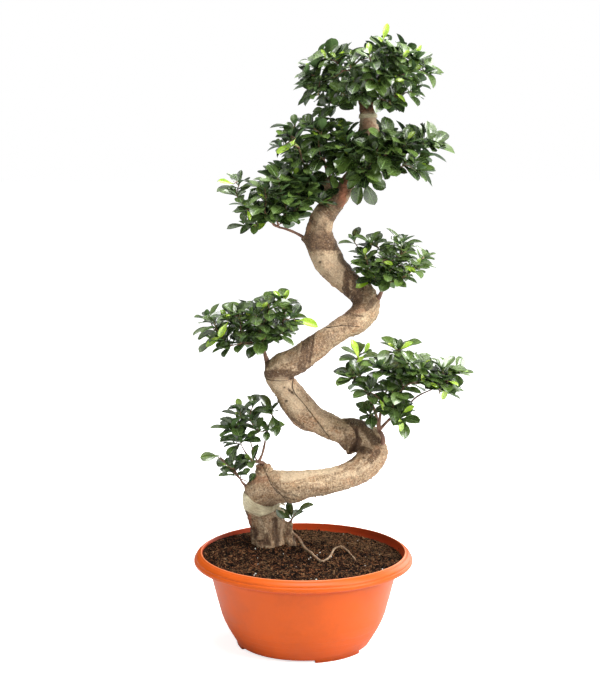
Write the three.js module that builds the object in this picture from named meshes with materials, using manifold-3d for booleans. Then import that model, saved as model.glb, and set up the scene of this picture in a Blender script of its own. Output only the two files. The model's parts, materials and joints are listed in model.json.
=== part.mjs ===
// S-shaped Chinese banyan bonsai (Ficus microcarpa) in a plastic bowl pot.
// Millimetres, +Z up. The design frame has the pot's axis at x = y = 0, the table at z = 0
// and the viewer on the -Y side. The finished group is shifted so that the middle of its
// bounding box stands over the origin.
import * as THREE from 'three';
import { mergeVertices } from 'three/addons/utils/BufferGeometryUtils.js';
import Module from 'manifold-3d';

const wasm = await Module();
wasm.setup();

// Pot
const FACETS = 35;
const WALL_FOOT_RADIUS = 98.5;
const RING_RADIUS = 107;
const RING_HEIGHT = 4;
const FLOOR_UNDERSIDE = 7.5;
const FLOOR_TOP = 10.5;
const FOOT_ARC = THREE.MathUtils.degToRad(45);
const FOOT_CENTRES = [-57, 63, 183].map((angle) => THREE.MathUtils.degToRad(angle));
const FOOT_INSET = 0.4;
const FOOT_OVERLAP = 1;
const FOOT_SEGMENTS = 4;
const DRAIN_RADIUS = 4.5;
const DRAIN_CIRCLE = 62;
const DRAIN_COUNT = 5;
const DRAIN_CUT = { height: 20, sides: 6 };
const OUTER_WALL = [[112, 12], [121, 28], [132, 52], [139, 78], [145, 102], [149.5, 119]];
const LIP = [
  [161, 133], [165.5, 144], [171, 139], [172.3, 133.5], [174.6, 133.5], [175, 138], [172, 142.5],
  [162, 150],
];
const INNER_WALL = [
  [160.5, 141], [157, 133.5], [146.2, 120], [128.6, 52], [117.8, 28], [105, FLOOR_TOP],
];

// Soil: level in the middle, lower towards the back right, heaped round the trunk
const GAP = 0.3;
const SOIL_LEVEL = 142;
const SOIL_FALL = 5.5 / 160;
const SOIL_FALL_DIRECTION = THREE.MathUtils.degToRad(35);
const SOIL_RINGS = [128, 86, 40];
const MOUND_HEIGHT = 7;
const MOUND_SPREAD = 48;
const BROAD_LUMPS = { height: 1.1, lengthX: 17, lengthY: 14 };
const FINE_LUMPS = { height: 0.9, length: 11 };

// Trunk: centre line and radius, from the stump in the soil to the cut end under the crown
const TRUNK = [
  [-57, 45, 70, 23], [-57, 45, 110, 27], [-57, 45, 143, 28.5], [-59, 44, 174, 27],
  [-63, 41, 196, 27.5], [-69, 34, 219, 27.5], [-66, 21, 241, 26.5], [-45, 8, 251, 26.5],
  [-19, -3, 254, 25.5], [8, -9, 260, 22.5], [38, -10, 265, 20.5], [68, -6, 272, 20.5],
  [95, 4, 284, 22.5], [111, 19, 303, 24], [101, 31, 325, 24], [80, 34, 334, 23],
  [53, 32, 340, 19.5], [27, 29, 353, 20], [2, 27, 367, 25], [-15, 24, 390, 24],
  [-29, 18, 412, 20.5], [-41, 7, 432, 21], [-33, -7, 447, 22], [-9, -14, 459, 21],
  [15, -17, 478, 20], [40, -16, 496, 17.5], [62, -11, 509, 18], [84, -2, 521, 20.5],
  [99, 10, 538, 21], [95, 19, 557, 20], [76, 24, 573, 19], [57, 24, 591, 21],
  [40, 20, 611, 24], [31, 14, 631, 23.5], [24, 8, 650, 23], [26, 4, 669, 19.5],
  [34, 2, 688, 18], [50, 4, 707, 15.5], [65, 7, 728, 12.5], [79, 8, 752, 11],
  [88, 6, 777, 10.5], [94, 4, 801, 12], [99, 3, 822, 14], [99, 2, 842, 12.5], [96, 0, 866, 12],
];
const TRUNK_SIDES = 10;
const TRUNK_STEPS = 52;
const TRUNK_RIDGES = [
  { height: 0.6, around: 3, along: 40 }, { height: 0.5, around: 2, along: -75 },
  { height: 0.5, around: 0, along: 190 },
];

// Round parts that grow out of the trunk: [from, to, radius there, radius at the flat end]
const CALLUS = [[-63, 18, 262], [-63, 18, 285], 15, 12.5];
const TOP_STUB = [[34, 5, 690], [38, 6, 744], 12, 9.5];
const ROOT_LOBE = [[-20, 43, 120], [-27, 40, 184], 12, 8];
const LOBE_BRIDGE = [[-50, 42, 190], [-28, 41, 168], 16, 9];
const STUB_BASE = [[-27, 38, 172], [-20, 32, 188], 7, 4];
const STUB_LOW_OUTER = [[-78, 24, 240], [-93, 18, 251], 8, 5.5];
const STUB_MID_RIGHT = [[113, 14, 300], [126, 7, 322], 13, 7];
const STUB_MID_LEFT = [[-50, 2, 438], [-57, 0, 456], 9, 5.5];
const STUB_RIGHT = [[104, 11, 538], [117, 8, 554], 11, 6];
const STUB_LEFT = [[14, 9, 641], [-1, 6, 651], 10, 5.5];
const STUB_UPPER_RIGHT = [[80, 7, 748], [94, 2, 757], 7, 4.5];
const STUB_CROWN = [[97, 1, 852], [96, 0, 869], 12, 10.5];
const STUB_SIDES = 7;

// One bare root that leaves the lobe and winds over the soil: [x, y, height over the soil]
const SURFACE_ROOT = [
  [-22, 40, 22], [-8, 33, 15], [2, 18, 5], [11, 2, 1.2], [20, -20, 0.9], [29, -42, 0.9],
  [38, -28, 0.9], [45, 4, 1], [52, 33, 1], [62, 41, 1.2], [71, 28, 1], [77, 0, 0.8],
  [82, -24, 0.2], [84, -34, -4],
];
const ROOT_RADIUS = 1.7;
const ROOT_TAPER = [1.25, 0.75];
const ROOT_SIDES = 4;
const ROOT_STEPS = 16;

// Raffia under the first bend and the tie under the crown, as bands seen from the front
const RAFFIA_BAND = [[-106, 206], [-30, 212], [-30, 214.5], [-106, 238]];
const TIE_BAND = [[70, 829], [125, 831], [125, 839], [70, 837]];
const WRAP_THICKNESS = 1.2;
const BAND_DEPTH = [-30, 90];

// Leaves: size, then how they sit on a shoot, in radians
const LEAF_LENGTH = [28, 37];
const LEAF_WIDTH_RATIO = 0.5;
const LEAF_THICKNESS = 0.7;
const LEAF_FOLD = [0.15, 0.35];
const LEAF_ARCH = [0.05, 0.22];
const LEAVES_PER_TIP = 4;
const LEAF_SPACING = 3;
const LEAF_TURN = 1.62;
const LEAF_TURN_JITTER = 0.25;
const LEAF_SPREAD = [0.85, 1.35];
const LEAF_FACING = [0, -0.1, 0.7];
const SHOOT_RISE = 0.35;

// Room that leaves keep: to each other, to wood, over the soil; and how a leaf gives way
const LEAF_ROOM = 3.2;
const TRUNK_ROOM = 1.5;
const TWIG_ROOM = 0.8;
const ROOM_OVER_SOIL = 17;
const TRUNK_SAMPLES = 200;
const TWIG_SAMPLES = 12;
const ATTEMPTS = 14;
const RETRY_TURN = 0.3;
const RETRY_LEAN = [-0.05, 0.08];

// Twigs: a stem to the fork, then twigs that branch at set shares of their parent
const STEM_SIDES = 5;
const STEM_TAPER = 0.62;
const STEM_REACH = 0.5;
const FORK_THICKNESS = 0.5;
const TWIG_SIDES = 3;
const TWIG_STEPS = 2;
const TWIG_REACH = 0.4;
const TWIG_SAG = 0.04;
const TIP_RADIUS = 1.4;
const LEAST_FOOT_RADIUS = 1.54;
const CHILD_THICKNESS = 0.6;
const BRANCHING_SHARES = [0.35, 0.75];
const DETOUR_COST = 0.3;

// Sprays: the stub each is grafted on, its stem's thickness and fork, and its shoot tips
const SPRAYS = [
  {
    name: 'spray_crown', stub: STUB_CROWN, thickness: 6, fork: [96, 0, 884],
    tips: [
      [120, 5, 944], [156, -25, 912], [186, 0, 914], [82, -20, 924], [46, 8, 924],
      [12, 0, 886], [64, -50, 884], [122, -52, 884], [152, -20, 864], [108, 50, 894],
    ],
  },
  {
    name: 'spray_upper_left', stub: TOP_STUB, thickness: 5, fork: [34, 6, 764],
    tips: [[-15, 5, 820], [-38, 0, 787], [24, -14, 812], [4, 28, 784]],
  },
  {
    name: 'spray_left', stub: STUB_LEFT, thickness: 3.4, fork: [-22, 2, 666],
    tips: [
      [-95, 5, 738], [-104, 0, 704], [-62, -12, 728], [-32, 4, 742], [-62, -34, 682],
      [-32, -44, 704], [2, -34, 694], [-54, 40, 706],
    ],
  },
  {
    name: 'spray_upper_right', stub: STUB_UPPER_RIGHT, thickness: 3.4, fork: [108, -4, 764],
    tips: [[102, -34, 782], [142, 0, 796], [183, 0, 782], [158, -32, 748], [142, 38, 764]],
  },
  {
    name: 'spray_right', stub: STUB_RIGHT, thickness: 4, fork: [124, 6, 572],
    tips: [
      [86, 6, 640], [98, -20, 608], [150, 4, 644], [186, 0, 624], [164, -28, 596],
      [142, 34, 610],
    ],
  },
  {
    name: 'spray_mid_left', stub: STUB_MID_LEFT, thickness: 4, fork: [-62, 0, 474],
    tips: [
      [-36, 4, 552], [-80, 0, 542], [-136, 4, 514], [-120, -14, 482], [-80, -40, 504],
      [-24, -22, 514], [-72, 40, 512],
    ],
  },
  {
    name: 'spray_mid_right', stub: STUB_MID_RIGHT, thickness: 5, fork: [126, 4, 350],
    tips: [
      [88, 8, 456], [76, 0, 424], [150, 6, 474], [130, -36, 438], [190, 0, 436],
      [238, 2, 436], [218, -26, 412], [150, -56, 396], [152, 46, 426],
    ],
  },
  {
    name: 'spray_low_left', stub: CALLUS, thickness: 4.5, fork: [-70, 16, 300],
    tips: [[-94, 14, 374], [-50, 16, 362], [-102, 8, 340], [-72, 42, 344]],
  },
  {
    name: 'spray_low_outer', stub: STUB_LOW_OUTER, thickness: 2.6, fork: [-101, 15, 262],
    tips: [[-116, 8, 280], [-138, 16, 292]],
  },
  {
    name: 'sprig_base', stub: STUB_BASE, thickness: 2, fork: [-18, 30, 193],
    tips: [[-14, 26, 202]],
  },
];

const BARK = { color: 0xa8916e, roughness: 0.85, metalness: 0 };
const LEAF_GREEN = { color: 0x2f5a22, roughness: 0.35, metalness: 0 };
const POT_ORANGE = { color: 0xde622d, roughness: 0.45, metalness: 0 };
const PEAT = { color: 0x3a281d, roughness: 0.95, metalness: 0 };
const RAFFIA = { color: 0xcbc5a4, roughness: 0.8, metalness: 0 };

// Seeded random numbers, the same on every run
let seed = 20;
function random() {
  seed = (seed + 0x6d2b79f5) | 0;
  let mixed = Math.imul(seed ^ (seed >>> 15), 1 | seed);
  mixed = (mixed + Math.imul(mixed ^ (mixed >>> 7), 61 | mixed)) ^ mixed;
  return ((mixed ^ (mixed >>> 14)) >>> 0) / 4294967296;
}
const between = (low, high) => low + (high - low) * random();
const vector = (triple) => new THREE.Vector3(triple[0], triple[1], triple[2]);

function solidOf(geometry) {
  const bare = geometry.clone();
  bare.deleteAttribute('normal');
  bare.deleteAttribute('uv');
  const merged = mergeVertices(bare);
  return new wasm.Manifold(new wasm.Mesh({
    numProp: 3,
    vertProperties: new Float32Array(merged.attributes.position.array),
    triVerts: new Uint32Array(merged.index.array),
  }));
}

function geometryOf(solid) {
  const mesh = solid.getMesh();
  const geometry = new THREE.BufferGeometry();
  geometry.setAttribute('position', new THREE.BufferAttribute(mesh.vertProperties, 3));
  geometry.setIndex(new THREE.BufferAttribute(mesh.triVerts, 1));
  const faceted = geometry.toNonIndexed();
  faceted.computeVertexNormals();
  return faceted;
}

const largestBody = (solid) => solid.decompose().sort((a, b) => b.volume() - a.volume())[0];

// A cylinder bent along a curve: radiusAt(share of the length, angle) gives its surface
function bentCylinder(curve, radiusAt, sides, steps) {
  const geometry = new THREE.CylinderGeometry(1, 1, 1, sides, steps);
  const frames = curve.computeFrenetFrames(steps);
  const position = geometry.attributes.position;
  for (let i = 0; i < position.count; i += 1) {
    const station = Math.round((position.getY(i) + 0.5) * steps);
    const share = station / steps;
    const angle = Math.atan2(position.getX(i), position.getZ(i));
    const onAxis = Math.hypot(position.getX(i), position.getZ(i)) < 1e-6;
    const reach = onAxis ? 0 : radiusAt(share, angle);
    const place = curve.getPointAt(share)
      .addScaledVector(frames.binormals[station], Math.sin(angle) * reach)
      .addScaledVector(frames.normals[station], Math.cos(angle) * reach);
    position.setXYZ(i, place.x, place.y, place.z);
  }
  return geometry;
}

// Height of the soil as a plane that falls to the back right, without its mound and lumps
function soilPlane(x, y) {
  const along = x * Math.cos(SOIL_FALL_DIRECTION) + y * Math.sin(SOIL_FALL_DIRECTION);
  return SOIL_LEVEL - SOIL_FALL * along;
}

function soilHeight(x, y) {
  const toTrunk = Math.hypot(x - TRUNK[2][0], y - TRUNK[2][1]);
  const mound = MOUND_HEIGHT * Math.exp(-((toTrunk / MOUND_SPREAD) ** 2));
  const { lengthX, lengthY } = BROAD_LUMPS;
  const broad = BROAD_LUMPS.height * Math.sin(x / lengthX + 1) * Math.cos(y / lengthY);
  const fine = FINE_LUMPS.height * Math.sin((x - y) / FINE_LUMPS.length);
  return soilPlane(x, y) + mound + broad + fine;
}

const lathe = (profile) => new THREE.LatheGeometry(
  profile.map(([radius, height]) => new THREE.Vector2(radius, height)),
  FACETS,
).rotateX(Math.PI / 2);

// Pot
function potFoot(centre) {
  const start = centre - FOOT_ARC / 2;
  const sector = new THREE.Shape();
  sector.absarc(0, 0, RING_RADIUS - FOOT_INSET, start, start + FOOT_ARC, false);
  sector.absarc(0, 0, WALL_FOOT_RADIUS + FOOT_OVERLAP, start + FOOT_ARC, start, true);
  const depth = RING_HEIGHT + FOOT_OVERLAP;
  return new THREE.ExtrudeGeometry(
    sector,
    { depth, bevelEnabled: false, curveSegments: FOOT_SEGMENTS },
  );
}

function makePot() {
  const profile = [
    [0, FLOOR_UNDERSIDE], [WALL_FOOT_RADIUS - 1, FLOOR_UNDERSIDE], [WALL_FOOT_RADIUS, RING_HEIGHT],
    [RING_RADIUS, RING_HEIGHT], ...OUTER_WALL, ...LIP, ...INNER_WALL, [0, FLOOR_TOP],
  ];
  let pot = solidOf(lathe(profile));
  for (const centre of FOOT_CENTRES) pot = pot.add(solidOf(potFoot(centre)));
  for (let i = 0; i < DRAIN_COUNT; i += 1) {
    const angle = (i / DRAIN_COUNT) * 2 * Math.PI;
    const hole = new THREE.CylinderGeometry(
      DRAIN_RADIUS,
      DRAIN_RADIUS,
      DRAIN_CUT.height,
      DRAIN_CUT.sides,
    )
      .rotateX(Math.PI / 2)
      .translate(DRAIN_CIRCLE * Math.cos(angle), DRAIN_CIRCLE * Math.sin(angle), FLOOR_TOP);
    pot = pot.subtract(solidOf(hole));
  }
  return pot;
}

// Trunk
const trunkCurve = new THREE.CatmullRomCurve3(TRUNK.map(vector), false, 'centripetal');
trunkCurve.arcLengthDivisions = 1200;

function trunkRadius(share) {
  const along = trunkCurve.getUtoTmapping(share) * (TRUNK.length - 1);
  const index = Math.min(Math.floor(along), TRUNK.length - 2);
  const blend = THREE.MathUtils.smoothstep(along - index, 0, 1);
  return THREE.MathUtils.lerp(TRUNK[index][3], TRUNK[index + 1][3], blend);
}

// The trunk's own tube, with low ridges and swellings, grown outward by the given margin
function trunkTube(margin) {
  const surface = (share, angle) => {
    let radius = trunkRadius(share) + margin;
    for (const { height, around, along } of TRUNK_RIDGES) {
      radius += height * Math.sin(around * angle + along * share);
    }
    return radius;
  };
  return solidOf(bentCylinder(trunkCurve, surface, TRUNK_SIDES, TRUNK_STEPS));
}

function stub([from, to, startRadius, endRadius], margin = 0) {
  const line = new THREE.LineCurve3(vector(from), vector(to));
  const radiusAt = (share) => THREE.MathUtils.lerp(startRadius, endRadius, share) + margin;
  return solidOf(bentCylinder(line, radiusAt, STUB_SIDES, 1));
}

function surfaceRoot(margin) {
  const points = SURFACE_ROOT.map(([x, y, over]) => {
    return new THREE.Vector3(x, y, soilHeight(x, y) + over);
  });
  const curve = new THREE.CatmullRomCurve3(points, false, 'centripetal');
  const radiusAt = (share) => ROOT_RADIUS * THREE.MathUtils.lerp(...ROOT_TAPER, share) + margin;
  return solidOf(bentCylinder(curve, radiusAt, ROOT_SIDES, ROOT_STEPS));
}

function makeTrunk(margin) {
  let trunk = trunkTube(margin);
  for (const lobe of [ROOT_LOBE, LOBE_BRIDGE]) trunk = trunk.add(stub(lobe, margin));
  trunk = trunk.add(surfaceRoot(margin));
  return trunk;
}

function makeTrunkWithStubs() {
  const stubs = [
    CALLUS, TOP_STUB, STUB_LOW_OUTER, STUB_MID_RIGHT, STUB_MID_LEFT, STUB_RIGHT, STUB_LEFT,
    STUB_UPPER_RIGHT, STUB_CROWN, STUB_BASE,
  ];
  return stubs.reduce((trunk, piece) => trunk.add(stub(piece)), makeTrunk(0));
}

// Inner radius of the pot at the soil's edge, where the wall leans out
function rimRadius(height) {
  const above = height > INNER_WALL[0][1];
  const [upper, lower] = above ? [LIP[LIP.length - 1], INNER_WALL[0]] : INNER_WALL;
  return THREE.MathUtils.mapLinear(height, lower[1], upper[1], lower[0], upper[0]);
}

// Soil, filling the pot and cut to fit round the trunk and the bare root
function makeSoil() {
  const side = INNER_WALL.map(([radius, height]) => [radius - GAP, height]).reverse();
  side[0][1] = FLOOR_TOP + GAP;
  side[side.length - 1][1] = SOIL_LEVEL;
  const top = [...SOIL_RINGS, 0].map((radius) => [radius, SOIL_LEVEL]);
  const geometry = lathe([[0, FLOOR_TOP + GAP], ...side, ...top]);
  const position = geometry.attributes.position;
  for (let i = 0; i < position.count; i += 1) {
    if (position.getZ(i) < SOIL_LEVEL - 1) continue;
    const [x, y] = [position.getX(i), position.getY(i)];
    const radius = Math.hypot(x, y);
    if (radius < SOIL_RINGS[0] + 1) {
      position.setZ(i, soilHeight(x, y));
    } else {
      const edge = soilPlane(x, y);
      const reach = (rimRadius(edge) - GAP) / radius;
      position.setXYZ(i, x * reach, y * reach, edge);
    }
  }
  return largestBody(solidOf(geometry).subtract(makeTrunk(GAP)));
}

// A band wound on the trunk: the trunk's own surface, thickened inside a sawn slice
function makeBand(outline) {
  const slice = new THREE.Shape(outline.map(([x, z]) => new THREE.Vector2(x, z)));
  const [front, back] = BAND_DEPTH;
  const block = new THREE.ExtrudeGeometry(slice, { depth: back - front, bevelEnabled: false })
    .rotateX(Math.PI / 2)
    .translate(0, back, 0);
  const skin = trunkTube(GAP + WRAP_THICKNESS).intersect(solidOf(block));
  return largestBody(skin.subtract(trunkTube(GAP)));
}

// A leaf blade, x along its length: a wedge-shaped foot, folded and arched to a short point.
// Each point is [share of the length, share of the half width]
const BLADE = [[0, 0], [0.48, 0.8], [0.48, -0.8], [0.78, 0.95], [0.78, -0.95], [0.72, 0], [1, 0]];
const BLADE_FACES = [[0, 2, 1], [1, 2, 5], [1, 5, 3], [2, 4, 5], [3, 5, 6], [5, 4, 6]];
const BLADE_EDGE = [0, 2, 4, 6, 3, 1];

function bladeGeometry(length, fold, arch) {
  const halfWidth = (length * LEAF_WIDTH_RATIO) / 2;
  const upper = BLADE.map(([along, across]) => {
    const lift = Math.abs(across) * halfWidth * fold - arch * length * along * along;
    return [along * length, across * halfWidth, lift];
  });
  const lower = upper.map(([x, y, z]) => [x, y, z - LEAF_THICKNESS]);
  const count = upper.length;
  const faces = [];
  for (const [a, b, c] of BLADE_FACES) faces.push(a, b, c, c + count, b + count, a + count);
  BLADE_EDGE.forEach((a, index) => {
    const b = BLADE_EDGE[(index + 1) % BLADE_EDGE.length];
    faces.push(a, a + count, b, b, a + count, b + count);
  });
  const geometry = new THREE.BufferGeometry();
  geometry.setAttribute('position', new THREE.Float32BufferAttribute([...upper, ...lower].flat(), 3));
  geometry.setIndex(faces);
  return geometry;
}

// Points that are taken already, each with the room it needs
const taken = [];
for (let i = 0; i <= TRUNK_SAMPLES; i += 1) {
  const share = i / TRUNK_SAMPLES;
  taken.push([trunkCurve.getPointAt(share), trunkRadius(share) + TRUNK_ROOM]);
}

const isFree = (samples) => samples.every((sample) => {
  if (sample.z < SOIL_LEVEL + ROOM_OVER_SOIL) return false;
  return taken.every(([point, room]) => sample.distanceToSquared(point) > room * room);
});

// Solids of the other nodes, which no leaf may cut
const obstacles = [];
const cutsNothing = (leaf, sprayName) => obstacles.every(({ name, solid }) => {
  return name === sprayName || solid.intersect(leaf).isEmpty();
});

// One leaf at a place on a shoot, turned until it clears what is there already
function placeLeaf(sprayName, place, shoot, turn, spread, length) {
  for (let attempt = 0; attempt < ATTEMPTS; attempt += 1) {
    const side = new THREE.Vector3(0, 0, 1).cross(shoot);
    if (side.lengthSq() < 0.01) side.set(1, 0, 0);
    side.normalize().applyAxisAngle(shoot, turn + attempt * between(-RETRY_TURN, RETRY_TURN));
    const lean = spread + attempt * between(...RETRY_LEAN);
    const along = shoot.clone().multiplyScalar(Math.cos(lean)).addScaledVector(side, Math.sin(lean));
    const face = shoot.clone().add(vector(LEAF_FACING));
    face.addScaledVector(along, -face.dot(along)).normalize();
    const basis = new THREE.Matrix4().makeBasis(along, face.clone().cross(along), face);
    basis.setPosition(place);
    const blade = bladeGeometry(length, between(...LEAF_FOLD), between(...LEAF_ARCH));
    blade.applyMatrix4(basis);
    const corners = blade.attributes.position;
    const samples = [];
    for (let i = 1; i < BLADE.length; i += 1) {
      samples.push(new THREE.Vector3().fromBufferAttribute(corners, i));
    }
    samples.push(samples[0].clone().lerp(samples[1], 0.5));
    const leaf = solidOf(blade);
    if (isFree(samples) && cutsNothing(leaf, sprayName)) {
      samples.forEach((sample) => taken.push([sample, LEAF_ROOM]));
      return leaf;
    }
  }
  return null;
}

// A twig is straight between its stations, and what joins it sits on these straights
function onTwig(curve, share) {
  const station = Math.min(Math.floor(share * TWIG_STEPS), TWIG_STEPS - 1);
  const from = curve.getPointAt(station / TWIG_STEPS);
  return from.lerp(curve.getPointAt((station + 1) / TWIG_STEPS), share * TWIG_STEPS - station);
}

// A twig that leaves its parent in the parent's direction and bends to the tip
function makeTwig(parent, tip) {
  const reach = parent.place.distanceTo(tip);
  const bend = parent.place.clone().addScaledVector(parent.direction, reach * TWIG_REACH);
  bend.z -= reach * TWIG_SAG;
  return new THREE.QuadraticBezierCurve3(parent.place, bend, tip);
}

// Each tip is joined to the nearest part of the spray that has grown so far
function growTwigs(spray) {
  const [from, to] = spray.stub.map(vector);
  const axis = to.clone().sub(from).normalize();
  const start = to.clone().addScaledVector(axis, GAP);
  const fork = vector(spray.fork);
  const stem = new THREE.QuadraticBezierCurve3(
    start,
    start.clone().addScaledVector(axis, start.distanceTo(fork) * STEM_REACH),
    fork,
  );
  const { thickness } = spray;
  const joints = [
    { place: fork, direction: stem.getTangent(1), radius: thickness * FORK_THICKNESS },
  ];
  const twigs = [{ curve: stem, radii: [thickness, thickness * STEM_TAPER], sides: STEM_SIDES }];
  const tips = spray.tips.map(vector).sort((a, b) => a.distanceTo(fork) - b.distanceTo(fork));
  for (const tip of tips) {
    const cost = ({ place }) => place.distanceTo(tip) + DETOUR_COST * place.distanceTo(fork);
    const parent = joints.reduce((best, joint) => (cost(joint) < cost(best) ? joint : best));
    const curve = makeTwig(parent, tip);
    const startRadius = Math.max(parent.radius * CHILD_THICKNESS, LEAST_FOOT_RADIUS);
    twigs.push({ curve, radii: [startRadius, TIP_RADIUS], sides: TWIG_SIDES, tip });
    for (const share of BRANCHING_SHARES) {
      joints.push({
        place: onTwig(curve, share),
        direction: curve.getTangent(share),
        radius: THREE.MathUtils.lerp(startRadius, TIP_RADIUS, share),
      });
    }
  }
  return twigs;
}

function makeWood(twigs) {
  return wasm.Manifold.union(twigs.map(({ curve, radii, sides }) => {
    const radiusAt = (share) => THREE.MathUtils.lerp(radii[0], radii[1], share);
    return solidOf(bentCylinder(curve, radiusAt, sides, TWIG_STEPS));
  }));
}

// A whorl of leaves round each shoot tip
function makeSpray(spray, twigs, wood) {
  const leaves = [];
  for (const { curve } of twigs.filter((twig) => twig.tip)) {
    const shoot = curve.getTangent(1).add(new THREE.Vector3(0, 0, SHOOT_RISE)).normalize();
    const firstTurn = between(0, 2 * Math.PI);
    for (let i = 0; i < LEAVES_PER_TIP; i += 1) {
      const place = onTwig(curve, 1 - (1 + i * LEAF_SPACING) / curve.getLength());
      const turn = firstTurn + i * LEAF_TURN + between(-LEAF_TURN_JITTER, LEAF_TURN_JITTER);
      const length = between(...LEAF_LENGTH);
      const leaf = placeLeaf(spray.name, place, shoot, turn, between(...LEAF_SPREAD), length);
      if (leaf) leaves.push(leaf);
    }
  }
  return largestBody(wasm.Manifold.union([wood, ...leaves]));
}

const model = new THREE.Group();

function addMesh(name, solid, finish) {
  const mesh = new THREE.Mesh(geometryOf(solid), new THREE.MeshStandardMaterial(finish));
  mesh.name = name;
  model.add(mesh);
}

const body = {
  pot: makePot(),
  soil: makeSoil(),
  trunk: makeTrunkWithStubs(),
  raffia_wrap: makeBand(RAFFIA_BAND),
  crown_tie: makeBand(TIE_BAND),
};
addMesh('pot', body.pot, POT_ORANGE);
addMesh('soil', body.soil, PEAT);
addMesh('trunk', body.trunk, BARK);
addMesh('raffia_wrap', body.raffia_wrap, RAFFIA);
addMesh('crown_tie', body.crown_tie, RAFFIA);
for (const [name, solid] of Object.entries(body)) obstacles.push({ name, solid });

// The twigs of every spray take their room first, and the leaves then keep clear of them
const grown = SPRAYS.map((spray) => {
  const twigs = growTwigs(spray);
  const wood = makeWood(twigs);
  obstacles.push({ name: spray.name, solid: wood });
  for (const { curve, radii } of twigs) {
    for (let i = 0; i <= TWIG_SAMPLES; i += 1) {
      taken.push([curve.getPoint(i / TWIG_SAMPLES), radii[0] + TWIG_ROOM]);
    }
  }
  return { spray, twigs, wood };
});
for (const { spray, twigs, wood } of grown) {
  const solid = makeSpray(spray, twigs, wood);
  obstacles.push({ name: spray.name, solid });
  addMesh(spray.name, solid, LEAF_GREEN);
}

// Shift so that the middle of the bounding box stands over the origin, on the table
const box = new THREE.Box3().setFromObject(model);
model.position.set(-(box.min.x + box.max.x) / 2, -(box.min.y + box.max.y) / 2, -box.min.z);

const bonsai = new THREE.Group();
bonsai.add(model);

export default bonsai;
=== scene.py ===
"""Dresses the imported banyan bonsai: bowl, peat, trunk, raffia and leafy sprays, in metres.

Places are written in millimetres from the pot's axis on the table, with the viewer on -Y.
A pair (x, z) is where something appears from the front, on the plane through the trunk.
"""
import json
import math
import random

import bmesh
import bpy
import numpy as np
from bpy.props import (FloatProperty, FloatVectorProperty, IntProperty, PointerProperty)
from mathutils import Matrix, Vector, kdtree, noise

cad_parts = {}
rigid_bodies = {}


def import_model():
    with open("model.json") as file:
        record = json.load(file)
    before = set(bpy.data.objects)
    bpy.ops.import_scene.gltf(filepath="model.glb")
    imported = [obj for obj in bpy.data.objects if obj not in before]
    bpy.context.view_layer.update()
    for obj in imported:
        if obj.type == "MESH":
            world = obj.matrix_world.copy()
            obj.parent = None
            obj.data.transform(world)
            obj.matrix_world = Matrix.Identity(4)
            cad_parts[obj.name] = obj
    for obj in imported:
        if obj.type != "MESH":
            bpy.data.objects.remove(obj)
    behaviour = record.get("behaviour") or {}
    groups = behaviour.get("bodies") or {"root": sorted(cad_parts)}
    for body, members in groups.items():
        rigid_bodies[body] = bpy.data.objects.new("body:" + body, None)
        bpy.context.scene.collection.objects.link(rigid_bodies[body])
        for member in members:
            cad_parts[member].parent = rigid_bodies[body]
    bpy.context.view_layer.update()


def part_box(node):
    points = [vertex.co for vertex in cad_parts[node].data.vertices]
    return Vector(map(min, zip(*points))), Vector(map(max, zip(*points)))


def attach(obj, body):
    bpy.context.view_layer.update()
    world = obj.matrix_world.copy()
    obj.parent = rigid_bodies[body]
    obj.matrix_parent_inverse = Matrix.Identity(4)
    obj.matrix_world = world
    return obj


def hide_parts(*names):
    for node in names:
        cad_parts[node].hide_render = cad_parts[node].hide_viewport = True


bl_info = {
    "name": "Banyan Bonsai",
    "version": (1, 0, 0),
    "blender": (4, 5, 0),
    "location": "View3D > Sidebar > Bonsai",
    "description": "Builds the visible surfaces of a potted S-shaped bonsai round its solids",
    "category": "Object",
}

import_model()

MM = 0.001
ROUND = 2 * math.pi
RIM_RADIUS = 175
POT_LOW, POT_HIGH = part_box("pot")
AXIS = Vector(((POT_LOW.x + POT_HIGH.x) / 2, POT_LOW.y + RIM_RADIUS * MM, 0))
EYE = Vector((-5.3, -2200, 789.75))
TILT_DOWN = math.radians(7.836)

# Bowl: radius and height along the moulded section, from the floor's middle and back to it
POT_SECTION = [
    (0, 7.5), (97.5, 7.5), (98.5, 4), (107, 4), (112, 12), (116.6, 20), (117.4, 21), (121.2, 28),
    (122, 29), (126.2, 38), (127, 39), (132, 52), (139, 78), (145, 102), (149.5, 119),
    (151, 124), (161, 133), (165.5, 144), (171, 139), (172.3, 133.5), (174.2, 133.5), (175, 135),
    (174.8, 138.4), (173.6, 140.2), (172.4, 140.8), (172.8, 142), (171.6, 144), (168, 147.4),
    (165.2, 148.4), (164.2, 149.6), (162.8, 150), (162, 149.2), (160.5, 141),
    (157, 133.5), (146.2, 120), (128.6, 52), (117.8, 28), (105, 10.5), (0, 10.5),
]
POT_MIDDLE = [(7, 0), (11, 108), (28, 119.4), (52, 130.3), (120, 148), (133.5, 159), (150, 163.4)]
POT_ROUNDING = 0.9
POT_FLOOR = 9
FOOT_DEPTH = 4
FOOT_RADII = (99, 107)
FOOT_ARC = math.radians(45)
FOOT_CENTRES = [math.radians(angle) for angle in (-57, 63, 183)]
DRAIN_RADIUS = 4.5
DRAIN_CIRCLE = 62
DRAIN_COUNT = 5

# Soil, with its mound round the stump
SOIL_SEED = 7
STUMP = (-57, 45)
STUMP_RADIUS = 27
MOUND_HEIGHT = 7
MOUND_WIDTH = 48
SOIL_LEVEL = 142
SOIL_FALL = 5.5 / 160
SOIL_FALL_DIRECTION = math.radians(35)
SOIL_RADIUS = 160.2
SOIL_SECTION = [(0, 10.8), (104.7, 10.8), (128.3, 52), (145.9, 120), (156.7, 133.5)]
SOIL_EDGE = [(133.5, 156.7), (141, 160.2), (149, 161.6)]

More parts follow.
